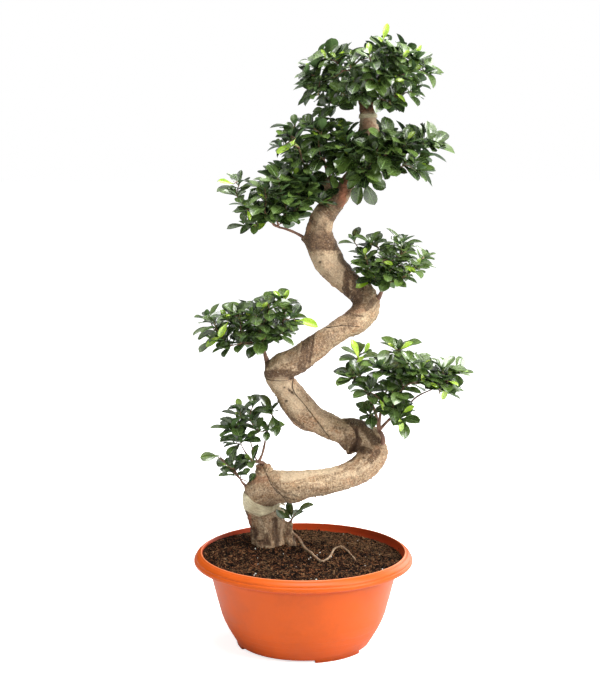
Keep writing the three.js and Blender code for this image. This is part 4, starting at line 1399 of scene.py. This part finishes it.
def leaf_template(look, rng):
    """A leaf of one unit's length on +X: short stalk, wedge foot, broad blade, blunt point."""
    fold, arch = rng.uniform(0.12, 0.5), rng.uniform(0.10, 0.42)
    twist, ripple = rng.uniform(-0.3, 0.3), rng.uniform(-0.02, 0.02)
    phase = rng.uniform(0, 6.28)
    width = look.width_ratio * rng.uniform(0.9, 1.1) / 2
    bm = bmesh.new()
    leaf_uv = bm.loops.layers.uv.new("leaf")
    for name in ("tone", "youth"):
        bm.verts.layers.float.new(name)
    bmesh.ops.create_grid(bm, x_segments=7, y_segments=4, size=1)
    lay_uv(bm.verts, leaf_uv, lambda place: (place.y * 0.5 + 0.5, place.x * 0.5 + 0.5))
    copy = bmesh.ops.duplicate(bm, geom=bm.faces[:])["geom"]
    lower = {part for part in copy if isinstance(part, bmesh.types.BMVert)}
    lower_faces = [part for part in copy if isinstance(part, bmesh.types.BMFace)]
    for face in lower_faces:
        face.material_index = 1
    bmesh.ops.reverse_faces(bm, faces=lower_faces)
    stalk = 0.12
    for vert in bm.verts:
        share, across = (vert.co.x + 1) / 2, vert.co.y
        along = share * (1.4 - 0.4 * share)
        blade = max((along - stalk) / (1 - stalk), 0)
        half = max(0.022 * (1 - along ** 8), width * math.sin(math.pi * blade ** 1.4) ** 0.58)
        if along > 0.999:
            half = 0
        lift = abs(across) * half * fold - arch * along * along
        lift += ripple * math.sin(along * 9 + phase) * across
        lift += twist * across * half * along
        body = 0.020 * (1 - across * across) * (1 - along ** 6)
        vert.co = (along, across * half, lift - (body if vert in lower else 0))
    bmesh.ops.remove_doubles(bm, verts=bm.verts, dist=1e-5)
    open_edges = [edge for edge in bm.edges if edge.is_boundary]
    bmesh.ops.holes_fill(bm, edges=open_edges, sides=0)
    for edge in bm.edges:
        sides = {face.material_index for face in edge.link_faces}
        edge.smooth = len(sides) < 2
    return make_mesh(bm, "leaf")


def rosette_tips(spray, rng):
    """Place and size of each rosette: a near one and, inside the outline, one or two behind."""
    rosettes = [(x, z, *(size or (1.0,))) for x, z, *size in spray.get("rosettes", [])]
    if not rosettes:
        return []
    xs, zs, _ = zip(*rosettes)
    mid_x, mid_z = (min(xs) + max(xs)) / 2, (min(zs) + max(zs)) / 2
    half_x, half_z = (max(xs) - min(xs)) / 2 + 12, (max(zs) - min(zs)) / 2 + 12
    tips = []
    for x, z, size in rosettes:
        off = math.hypot((x - mid_x) / half_x, (z - mid_z) / half_z)
        bulge = math.sqrt(max(1 - off * off, 0.02)) * spray["depth"]
        tips.append((behind(x, z, spray["middle"] - bulge + rng.uniform(-5, 5)), size))
        if off < PAD_INSIDE and spray["depth"] > THIN_PAD:
            shift = Vector((rng.uniform(-9, 9), 0, rng.uniform(-7, 7)))
            far = behind(x, z, spray["middle"] + bulge + rng.uniform(-6, 4)) + shift
            tips.append((far, size))
            if rng.random() < INNER_CHANCE:
                shift = Vector((rng.uniform(-9, 9), 0, rng.uniform(-3, 8)))
                inner = behind(x, z, spray["middle"] + bulge * rng.uniform(-0.3, 0.3)) + shift
                tips.append((inner, size * 0.8))
    for tip, _ in tips:
        while room_to_trunk(tip) < TIP_ROOM:
            tip.y += 4 if tip.y > TRUNK_SPINE.places[TRUNK_TREE.find(tip)[1]].y else -4
    return tips


def grow_twigs(name, spray, rng):
    """The stem, its bare shoots, and a shoot for each rosette from the nearest wood."""
    start, end = [Vector(part) for part in STUBS[spray.get("stub", name)][:2]]
    axis = (end - start).normalized()
    fork = Vector(spray["fork"])
    first = end - axis * 3
    middle = end + axis * (fork - end).length * 0.5
    stem = [first.lerp(middle, t).lerp(middle.lerp(fork, t), t) for t in (0, 0.2, 0.4, 0.6, 0.8, 1)]
    twigs = [dict(points=stem, parent=None, share=1, load=0, direction=stem[-1] - stem[-2])]
    joints = [(fork, stem[-1] - stem[-2], 0, 1.0)]

    def add_twig(points, parent, share, **more):
        twigs.append(dict(points=points, parent=parent, share=share, load=1,
                          direction=points[-1] - points[-2], **more))
        upward = parent
        while upward is not None:
            twigs[upward]["load"] += 1
            upward = twigs[upward]["parent"]
        last = len(points) - 1
        for at in range(max(last // 3, 1), last + (0 if "tip" in more else 1)):
            joints.append((points[at], points[at] - points[at - 1], len(twigs) - 1, at / last))

    for line in spray.get("shoots", []):
        add_twig([fork] + [behind(x, z, spray["middle"]) for x, z in line], 0, 1.0)
    tips = rosette_tips(spray, rng)
    tips.sort(key=lambda tip: (tip[0] - fork).length)
    for tip, size in tips:
        def cost(joint):
            return (joint[0] - tip).length + 0.3 * (joint[0] - fork).length
        place, direction, parent, share = min(joints, key=cost)
        reach = (tip - place).length
        bend = place + direction.normalized() * reach * 0.4 + Vector((0, 0, -0.05 * reach))
        points = []
        for step in range(6):
            t = step / 5
            point = place.lerp(bend, t).lerp(bend.lerp(tip, t), t)
            if 0 < step < 5:
                point += random_vector(rng) * 0.9
            points.append(point)
        add_twig(points, parent, share, tip=tip, size=size)
    return twigs, fork


def twig_radii(twigs, spray, look):
    """Each shoot is as thick as what it carries, and never thicker than its parent there."""
    tip = look.twig_radius / MM
    for twig in twigs:
        if twig["parent"] is None:
            twig["radii"] = (spray["stem"], spray["stem"] * 0.66)
            continue
        parent = twigs[twig["parent"]]
        there = mix(*parent["radii"], twig["share"])
        wanted = tip * (1 + 0.55 * (twig["load"] - 1)) ** 0.5 * 1.4
        twig["radii"] = (max(min(wanted, there * 0.95), tip * 1.05), tip)


def put_leaf(bm, templates, base, along, face, length, tone, youth, rng):
    """Copies a leaf to its place, its length along one way and its upper side facing another."""
    along = along.normalized()
    face = (face - along * face.dot(along)).normalized()
    side = face.cross(along)
    turn = Matrix((along, side, face)).transposed().to_4x4()
    slim = mix(1.0, 0.62, youth)
    leaf = rng.choice(templates).copy()
    size = Matrix.Diagonal((length * MM, length * MM * slim, length * MM, 1))
    leaf.transform(Matrix.Translation(put(base)) @ turn @ size)
    count = len(leaf.vertices)
    leaf.attributes["tone"].data.foreach_set("value", [tone] * count)
    leaf.attributes["youth"].data.foreach_set("value", [youth] * count)
    bm.from_mesh(leaf)
    bpy.data.meshes.remove(leaf)


def clear_way(base, along, length, away):
    """The way a leaf takes past the trunk, or nothing where there is no room."""
    for way in (along, (along + away * 0.9).normalized(), (along + away * 2).normalized()):
        room = min(room_to_trunk(base + way * length * 0.5), room_to_trunk(base + way * length))
        if room > LEAF_ROOM:
            return way
    return None


def dress_tip(bm, templates, twig, fork, spray, look, rng):
    """A whorl of leaves round a shoot's end, the newest small and upright in the middle."""
    tip, way = twig["tip"], twig["direction"].normalized()
    outward = (tip - fork).normalized()
    near = -0.3 if tip.y < spray["middle"] else 0.1
    shoot = (outward * 0.8 + way * 0.25 + Vector((0, near, 0.85))).normalized()
    count = round(rng.randint(look.leaves_low, look.leaves_high) * mix(0.45, 1, twig["size"]))
    first = rng.uniform(0, 2 * math.pi)
    side = shoot.orthogonal().normalized()
    away = (tip - TRUNK_SPINE.places[TRUNK_TREE.find(tip)[1]]).normalized()
    for index in range(count):
        age = index / max(count - 1, 1)
        turn = first + index * LEAF_TURN + rng.uniform(-0.25, 0.25)
        lean = mix(0.35, 1.28, age ** 0.8) + rng.uniform(-0.15, 0.15)
        spoke = Matrix.Rotation(turn, 3, shoot) @ side
        along = shoot * math.cos(lean) + spoke * math.sin(lean)
        length = rng.uniform(*look.leaf_length) / MM * spray["leaf"] * twig["size"] ** 0.5
        length *= mix(0.5, 1.0, smooth(age, 0, 0.4))
        base = tip - way * (1 + age * 13 * twig["size"])
        along = clear_way(base, along, length, away)
        if along is None:
            continue
        face = shoot + Vector((0, -0.2, 0.5)) - along * 0.2
        youth = rng.uniform(0.3, 0.75) if index == 0 and rng.random() < 0.45 else 0.0
        tone = min(max(rng.gauss(spray.get("tone", TONE), TONE_SPREAD), 0), 1.1)
        put_leaf(bm, templates, base, along, face, length, tone, youth, rng)


def add_stalk(bm, places, radius):
    """A thin bare stalk through some places."""
    spine = tapered(places, 1, 0.65, 6, radius)
    for vert in roll(bm, 6, 6, lambda share, turn: put(spine.surface(share, turn))):
        for face in vert.link_faces:
            face.material_index = 2


def add_young(bm, templates, spray, twigs, rng):
    """The newest, bright leaves, each on a stalk from the nearest rosette."""
    tips = [twig["tip"] for twig in twigs if "tip" in twig and twig["tip"].y < spray["middle"] + 12]
    for foot, end in spray.get("young", []):
        def off(tip):
            x, z = seen(tip)
            return math.hypot(x - foot[0], z - foot[1])
        tip = min(tips, key=off)
        base, end = behind(*foot, tip.y - 9), behind(*end, tip.y - 15)
        if (base - tip).length > 5:
            add_stalk(bm, [tip, tip.lerp(base, 0.5) + Vector((0, 0, 0.8)), base], 0.9)
        put_leaf(bm, templates, base, end - base, Vector((0.2, -0.75, 0.6)),
                 (end - base).length * 1.08, 0.7, rng.uniform(0.85, 1.0), rng)


def build_spray(name, spray, materials, look):
    """One spray: woody shoots and its whorls of leaves."""
    rng = random.Random("spray " + name)
    node = "sprig_base" if name == "base" else "spray_" + name
    twigs, fork = grow_twigs(name, spray, rng)
    twig_radii(twigs, spray, look)
    bm = bmesh.new()
    bm.loops.layers.uv.new("leaf")
    bm.verts.layers.float.new("tone")
    youth_layer = bm.verts.layers.float.new("youth")
    for twig in twigs:
        start, end = twig["radii"]
        spine = tapered(twig["points"], start, end, 12)
        steps = max(4, min(12, round(spine.length / 7)))

        def skin(share, turn, spine=spine):
            point, (middle, *_, radius) = spine.surface(share, turn), spine.at(share)
            swell = 0.10 * radius * math.sin(share * spine.length / 3.2)
            return put(point + (point - middle).normalized() * swell)
        sides = 12 if twig["parent"] is None else (8 if start > 2 else 6)
        made = roll(bm, steps, sides, skin)
        if "tip" in twig:
            for vert in made:
                near = (vert.co - put(twig["tip"])).length / MM
                vert[youth_layer] = smooth(near, 16, 2) * 0.8
    face_out(bm)
    for face in bm.faces:
        face.material_index = 2
    templates = [leaf_template(look, rng) for _ in range(6)]
    for twig in twigs:
        if "tip" in twig:
            dress_tip(bm, templates, twig, fork, spray, look, rng)
    add_young(bm, templates, spray, twigs, rng)
    for start, end, youth, *face in spray.get("lone", []):
        start, end = Vector(start), Vector(end)
        if (start - fork).length > 3:
            add_stalk(bm, [fork, fork.lerp(start, 0.5) + Vector((0, 0, 1)), start], 1.1)
        face = Vector(face[0] if face else (-0.5, -0.8, 0.3))
        put_leaf(bm, templates, start, end - start, face, (end - start).length, 0.4, youth, rng)
    for template in templates:
        bpy.data.meshes.remove(template)
    piece = finish_mesh(bm, "foliage_" + name, outward=False)
    return join_frame(piece, "leaf", materials, node)


# Stage


def add_light(name, place, size, power, aim):
    """A soft square light that faces a point, both in millimetres from the pot's axis."""
    light = bpy.data.lights.new(name, "AREA")
    light.shape = "SQUARE"
    light.size = size
    light.energy = power
    lamp = bpy.data.objects.new(name, light)
    lamp.location = put(place)
    lamp.rotation_euler = (put(aim) - put(place)).to_track_quat("-Z", "Y").to_euler()
    bpy.context.scene.collection.objects.link(lamp)


def build_stage(look):
    """Pale floor, white surround, soft light from above and the right, and the camera."""
    bm = bmesh.new()
    bmesh.ops.create_grid(bm, x_segments=1, y_segments=1, size=look.floor_size)
    floor = finish_mesh(bm, "studio_floor", outward=False)
    floor.data.materials.append(stage_material(look))
    scene = bpy.context.scene
    world = bpy.data.worlds.new("white_surround")
    world.use_nodes = True
    sky = Nodes(world.node_tree)
    white = sky.tree.nodes["Background"].inputs
    white["Color"].default_value = (1, 1, 1, 1)
    path = sky.add("LightPath").outputs
    by_eye = sky.times(path["Is Camera Ray"], 1 - look.surround)
    way = sky.add("SeparateXYZ", {"Vector": sky.add("TexCoord").outputs["Generated"]})
    change = sky.spread(way.outputs["Z"], 0.35, 0.95, 0.05 - look.surround, 0.6)
    mirrored = sky.times(path["Is Glossy Ray"], change)
    sky.feed(white["Strength"], sky.plus(sky.plus(by_eye, mirrored), look.surround))
    scene.world = world
    add_light("key_light", (1800, -1000, 1500), 1.2, look.key_power, (0, 0, 450))
    add_light("rim_light", (1500, 1500, 900), 1.4, look.rim_power, (0, 0, 250))
    add_light("fill_light", (-1700, -1500, 1200), 1.6, look.fill_power, (0, 0, 450))
    add_light("top_light", (200, -500, 2600), 1.6, look.top_power, (0, 0, 450))
    scene.view_settings.view_transform = "Standard"
    camera = bpy.data.cameras.new("camera")
    camera.lens = look.lens
    camera.sensor_width = 36
    camera.clip_end = 100
    view = bpy.data.objects.new("camera", camera)
    view.location = put(EYE)
    view.rotation_euler = (math.pi / 2 - TILT_DOWN, 0, 0)
    scene.collection.objects.link(view)
    scene.camera = view


# Settings


def colour_property(name, description, default):
    return FloatVectorProperty(name=name, description=description, subtype="COLOR", size=4,
                               min=0, max=1, default=default)


class BonsaiPotSettings(bpy.types.PropertyGroup):
    segments: IntProperty(name="Segments", description="Steps round the bowl", default=144, min=48)
    roughness: FloatProperty(name="Roughness", description="Roughness of the plastic",
                             default=0.42, min=0.1, max=1, subtype="FACTOR")
    wall_colour: colour_property("Wall", "Plastic of the bowl", srgb(192, 79, 6))
    # the colour that the lowest 5 cm of the bowl darken towards
    foot_colour: colour_property("Foot", "Deeper plastic towards the foot", srgb(188, 73, 6))
    # painted shade inside the bowl, which is the same plastic as the wall
    inside_shade_colour: colour_property("Inside", "Plastic inside the rim", srgb(156, 47, 14))


class BonsaiSoilSettings(bpy.types.PropertyGroup):
    segments: IntProperty(name="Segments", description="Steps round the soil", default=280, min=48)
    rings: IntProperty(name="Rings", description="Rings from edge to middle", default=100, min=12)
    crumbs: IntProperty(name="Crumbs", description="Loose crumbs of peat", default=3000, min=0)
    fibres: IntProperty(name="Fibres", description="Loose fibres", default=620, min=0)
    perlite: IntProperty(name="Perlite", description="White grains", default=26, min=0)
    dark: colour_property("Dark", "Wet peat", srgb(12, 8, 6))
    brown: colour_property("Brown", "Drier peat", srgb(132, 84, 54))
    fibre: colour_property("Fibre", "Fibres and dry crumbs", srgb(158, 122, 88))


class BonsaiTrunkSettings(bpy.types.PropertyGroup):
    voxel: FloatProperty(name="Skin detail", description="Size of the skin's facets",
                         default=0.0016, min=0.001, unit="LENGTH")
    relief: FloatProperty(name="Relief", description="Strength of the bark's relief", default=1.0,
                          min=0, max=3)
    warts: IntProperty(name="Warts", description="Raised warts on the bark", default=150, min=0)
    tan: colour_property("Tan", "Main bark", srgb(178, 150, 116))
    light: colour_property("Light", "Pale bark and lenticels", srgb(218, 196, 164))
    brown: colour_property("Brown", "Brown patches", srgb(140, 108, 78))
    # Dark also paints the shadows in folds and creases
    dark: colour_property("Dark", "Stains and folds", srgb(72, 52, 38))
    warm: colour_property("Warm", "Orange brown tinge", srgb(172, 120, 78))
    raw: colour_property("Raw wood", "Cut and freshly torn wood", srgb(164, 106, 78))


class BonsaiWrapSettings(bpy.types.PropertyGroup):
    thickness: FloatProperty(name="Thickness", description="Thickness of one turn",
                             default=0.0004, min=0.0001, unit="LENGTH")
    turns: IntProperty(name="Turns", description="Turns of raffia under the first bend",
                       default=6, min=1)
    pale: colour_property("Pale", "Raffia in the light", srgb(252, 242, 206))
    shade: colour_property("Shade", "Raffia between fibres", srgb(192, 174, 130))


class BonsaiFoliageSettings(bpy.types.PropertyGroup):
    leaf_length: FloatVectorProperty(name="Leaf length", description="Shortest and longest leaf",
                                     size=2, default=(0.028, 0.039), unit="LENGTH")
    width_ratio: FloatProperty(name="Leaf width", description="Leaf width over length",
                               default=0.57, min=0.2, max=1)
    twig_radius: FloatProperty(name="Twig tip", description="Radius of a shoot's end",
                               default=0.0009, min=0.0003, unit="LENGTH")
    leaves_low: IntProperty(name="Fewest leaves", description="In one whorl", default=6, min=1)
    leaves_high: IntProperty(name="Most leaves", description="In one whorl", default=9, min=1)
    roughness: FloatProperty(name="Gloss", description="Roughness of a leaf's upper side",
                             default=0.24, min=0.05, max=1)
    dark: colour_property("Dark leaf", "Older leaves", srgb(28, 42, 18))
    green: colour_property("Green leaf", "Leaves in their prime", srgb(102, 128, 56))
    young: colour_property("Young leaf", "Newest leaves", srgb(130, 170, 30))
    tip: colour_property("Young tip", "Lightest part of new leaves", srgb(178, 206, 56))
    vein: colour_property("Vein", "Midrib and side veins", srgb(128, 160, 92))
    under: colour_property("Underside", "Paler lower side", srgb(98, 130, 86))
    twig: colour_property("Twig", "Bark of the shoots", srgb(134, 98, 78))
    twig_dark: colour_property("Dark twig", "Older bark of the shoots", srgb(92, 62, 48))


class BonsaiStageSettings(bpy.types.PropertyGroup):
    lens: FloatProperty(name="Lens", description="Focal length in millimetres", default=74.49,
                        min=20)
    surround: FloatProperty(name="Surround", description="Brightness of the white surround",
                            default=0.36, min=0, max=1)
    key_power: FloatProperty(name="Key light", description="Soft light from the right",
                             default=75, min=0, unit="POWER")
    fill_power: FloatProperty(name="Fill light", description="Soft light from the left",
                              default=8, min=0, unit="POWER")
    rim_power: FloatProperty(name="Rim light", description="Soft light from behind on the right",
                             default=35, min=0, unit="POWER")
    top_power: FloatProperty(name="Top light", description="Broad soft light from above",
                             default=85, min=0, unit="POWER")
    floor_glow: FloatProperty(name="Floor glow", description="Light that the floor adds by eye",
                              default=0.74, min=0)
    floor_size: FloatProperty(name="Floor", description="Half the floor's width", default=30,
                              min=1, unit="LENGTH")
    floor_colour: colour_property("Floor colour", "Pale floor", (0.9, 0.9, 0.9, 1))


# Operators


class BONSAI_OT_pot(bpy.types.Operator):
    """Build the moulded bowl"""
    bl_idname = "bonsai.pot"
    bl_label = "Bowl"

    def execute(self, context):
        build_pot(context.scene.bonsai_pot)
        return {"FINISHED"}


class BONSAI_OT_soil(bpy.types.Operator):
    """Build the peat with its crumbs, fibres and perlite"""
    bl_idname = "bonsai.soil"
    bl_label = "Peat"

    def execute(self, context):
        build_soil(context.scene.bonsai_soil)
        return {"FINISHED"}


class BONSAI_OT_trunk(bpy.types.Operator):
    """Build the trunk's bark and the bare root"""
    bl_idname = "bonsai.trunk"
    bl_label = "Trunk"

    def execute(self, context):
        build_trunk(context.scene.bonsai_trunk)
        return {"FINISHED"}


class BONSAI_OT_wraps(bpy.types.Operator):
    """Wind the raffia and the tie under the crown"""
    bl_idname = "bonsai.wraps"
    bl_label = "Raffia and tie"

    def execute(self, context):
        look = context.scene.bonsai_wrap
        build_wrap("raffia_turns", "raffia_wrap", RAFFIA_LOW, RAFFIA_HIGH, RAFFIA_REACH, look,
                   look.turns, RAFFIA_SEED, RAFFIA_TAILS)
        build_wrap("crown_binding", "crown_tie", TIE_LOW, TIE_HIGH, TIE_REACH, look, TIE_TURNS,
                   TIE_SEED)
        return {"FINISHED"}


class BONSAI_OT_foliage(bpy.types.Operator):
    """Grow every spray of shoots and leaves"""
    bl_idname = "bonsai.foliage"
    bl_label = "Foliage"

    def execute(self, context):
        look = context.scene.bonsai_foliage
        materials = [leaf_material(look, False), leaf_material(look, True), twig_material(look)]
        for name, spray in SPRAYS.items():
            build_spray(name, spray, materials, look)
        return {"FINISHED"}


class BONSAI_OT_stage(bpy.types.Operator):
    """Set the floor, the surround, the lights and the camera"""
    bl_idname = "bonsai.stage"
    bl_label = "Stage"

    def execute(self, context):
        build_stage(context.scene.bonsai_stage)
        return {"FINISHED"}


class BONSAI_PT_panel(bpy.types.Panel):
    """Lists the bonsai's settings and what can be built"""
    bl_label = "Banyan Bonsai"
    bl_idname = "BONSAI_PT_panel"
    bl_space_type = "VIEW_3D"
    bl_region_type = "UI"
    bl_category = "Bonsai"

    def draw(self, context):
        for pointer, (settings, operator) in SECTIONS.items():
            box = self.layout.box()
            box.operator(operator.bl_idname)
            for name in settings.__annotations__:
                box.prop(getattr(context.scene, pointer), name)


SECTIONS = {
    "bonsai_stage": (BonsaiStageSettings, BONSAI_OT_stage),
    "bonsai_pot": (BonsaiPotSettings, BONSAI_OT_pot),
    "bonsai_soil": (BonsaiSoilSettings, BONSAI_OT_soil),
    "bonsai_trunk": (BonsaiTrunkSettings, BONSAI_OT_trunk),
    "bonsai_wrap": (BonsaiWrapSettings, BONSAI_OT_wraps),
    "bonsai_foliage": (BonsaiFoliageSettings, BONSAI_OT_foliage),
}


def register():
    for pointer, (settings, operator) in SECTIONS.items():
        bpy.utils.register_class(settings)
        bpy.utils.register_class(operator)
        setattr(bpy.types.Scene, pointer, PointerProperty(type=settings))
    bpy.utils.register_class(BONSAI_PT_panel)


def unregister():
    bpy.utils.unregister_class(BONSAI_PT_panel)
    for pointer, (settings, operator) in reversed(SECTIONS.items()):
        delattr(bpy.types.Scene, pointer)
        bpy.utils.unregister_class(operator)
        bpy.utils.unregister_class(settings)


def main():
    register()
    bpy.ops.bonsai.stage()
    bpy.ops.bonsai.pot()
    bpy.ops.bonsai.soil()
    bpy.ops.bonsai.trunk()
    bpy.ops.bonsai.wraps()
    bpy.ops.bonsai.foliage()


if __name__ == "__main__":
    main()
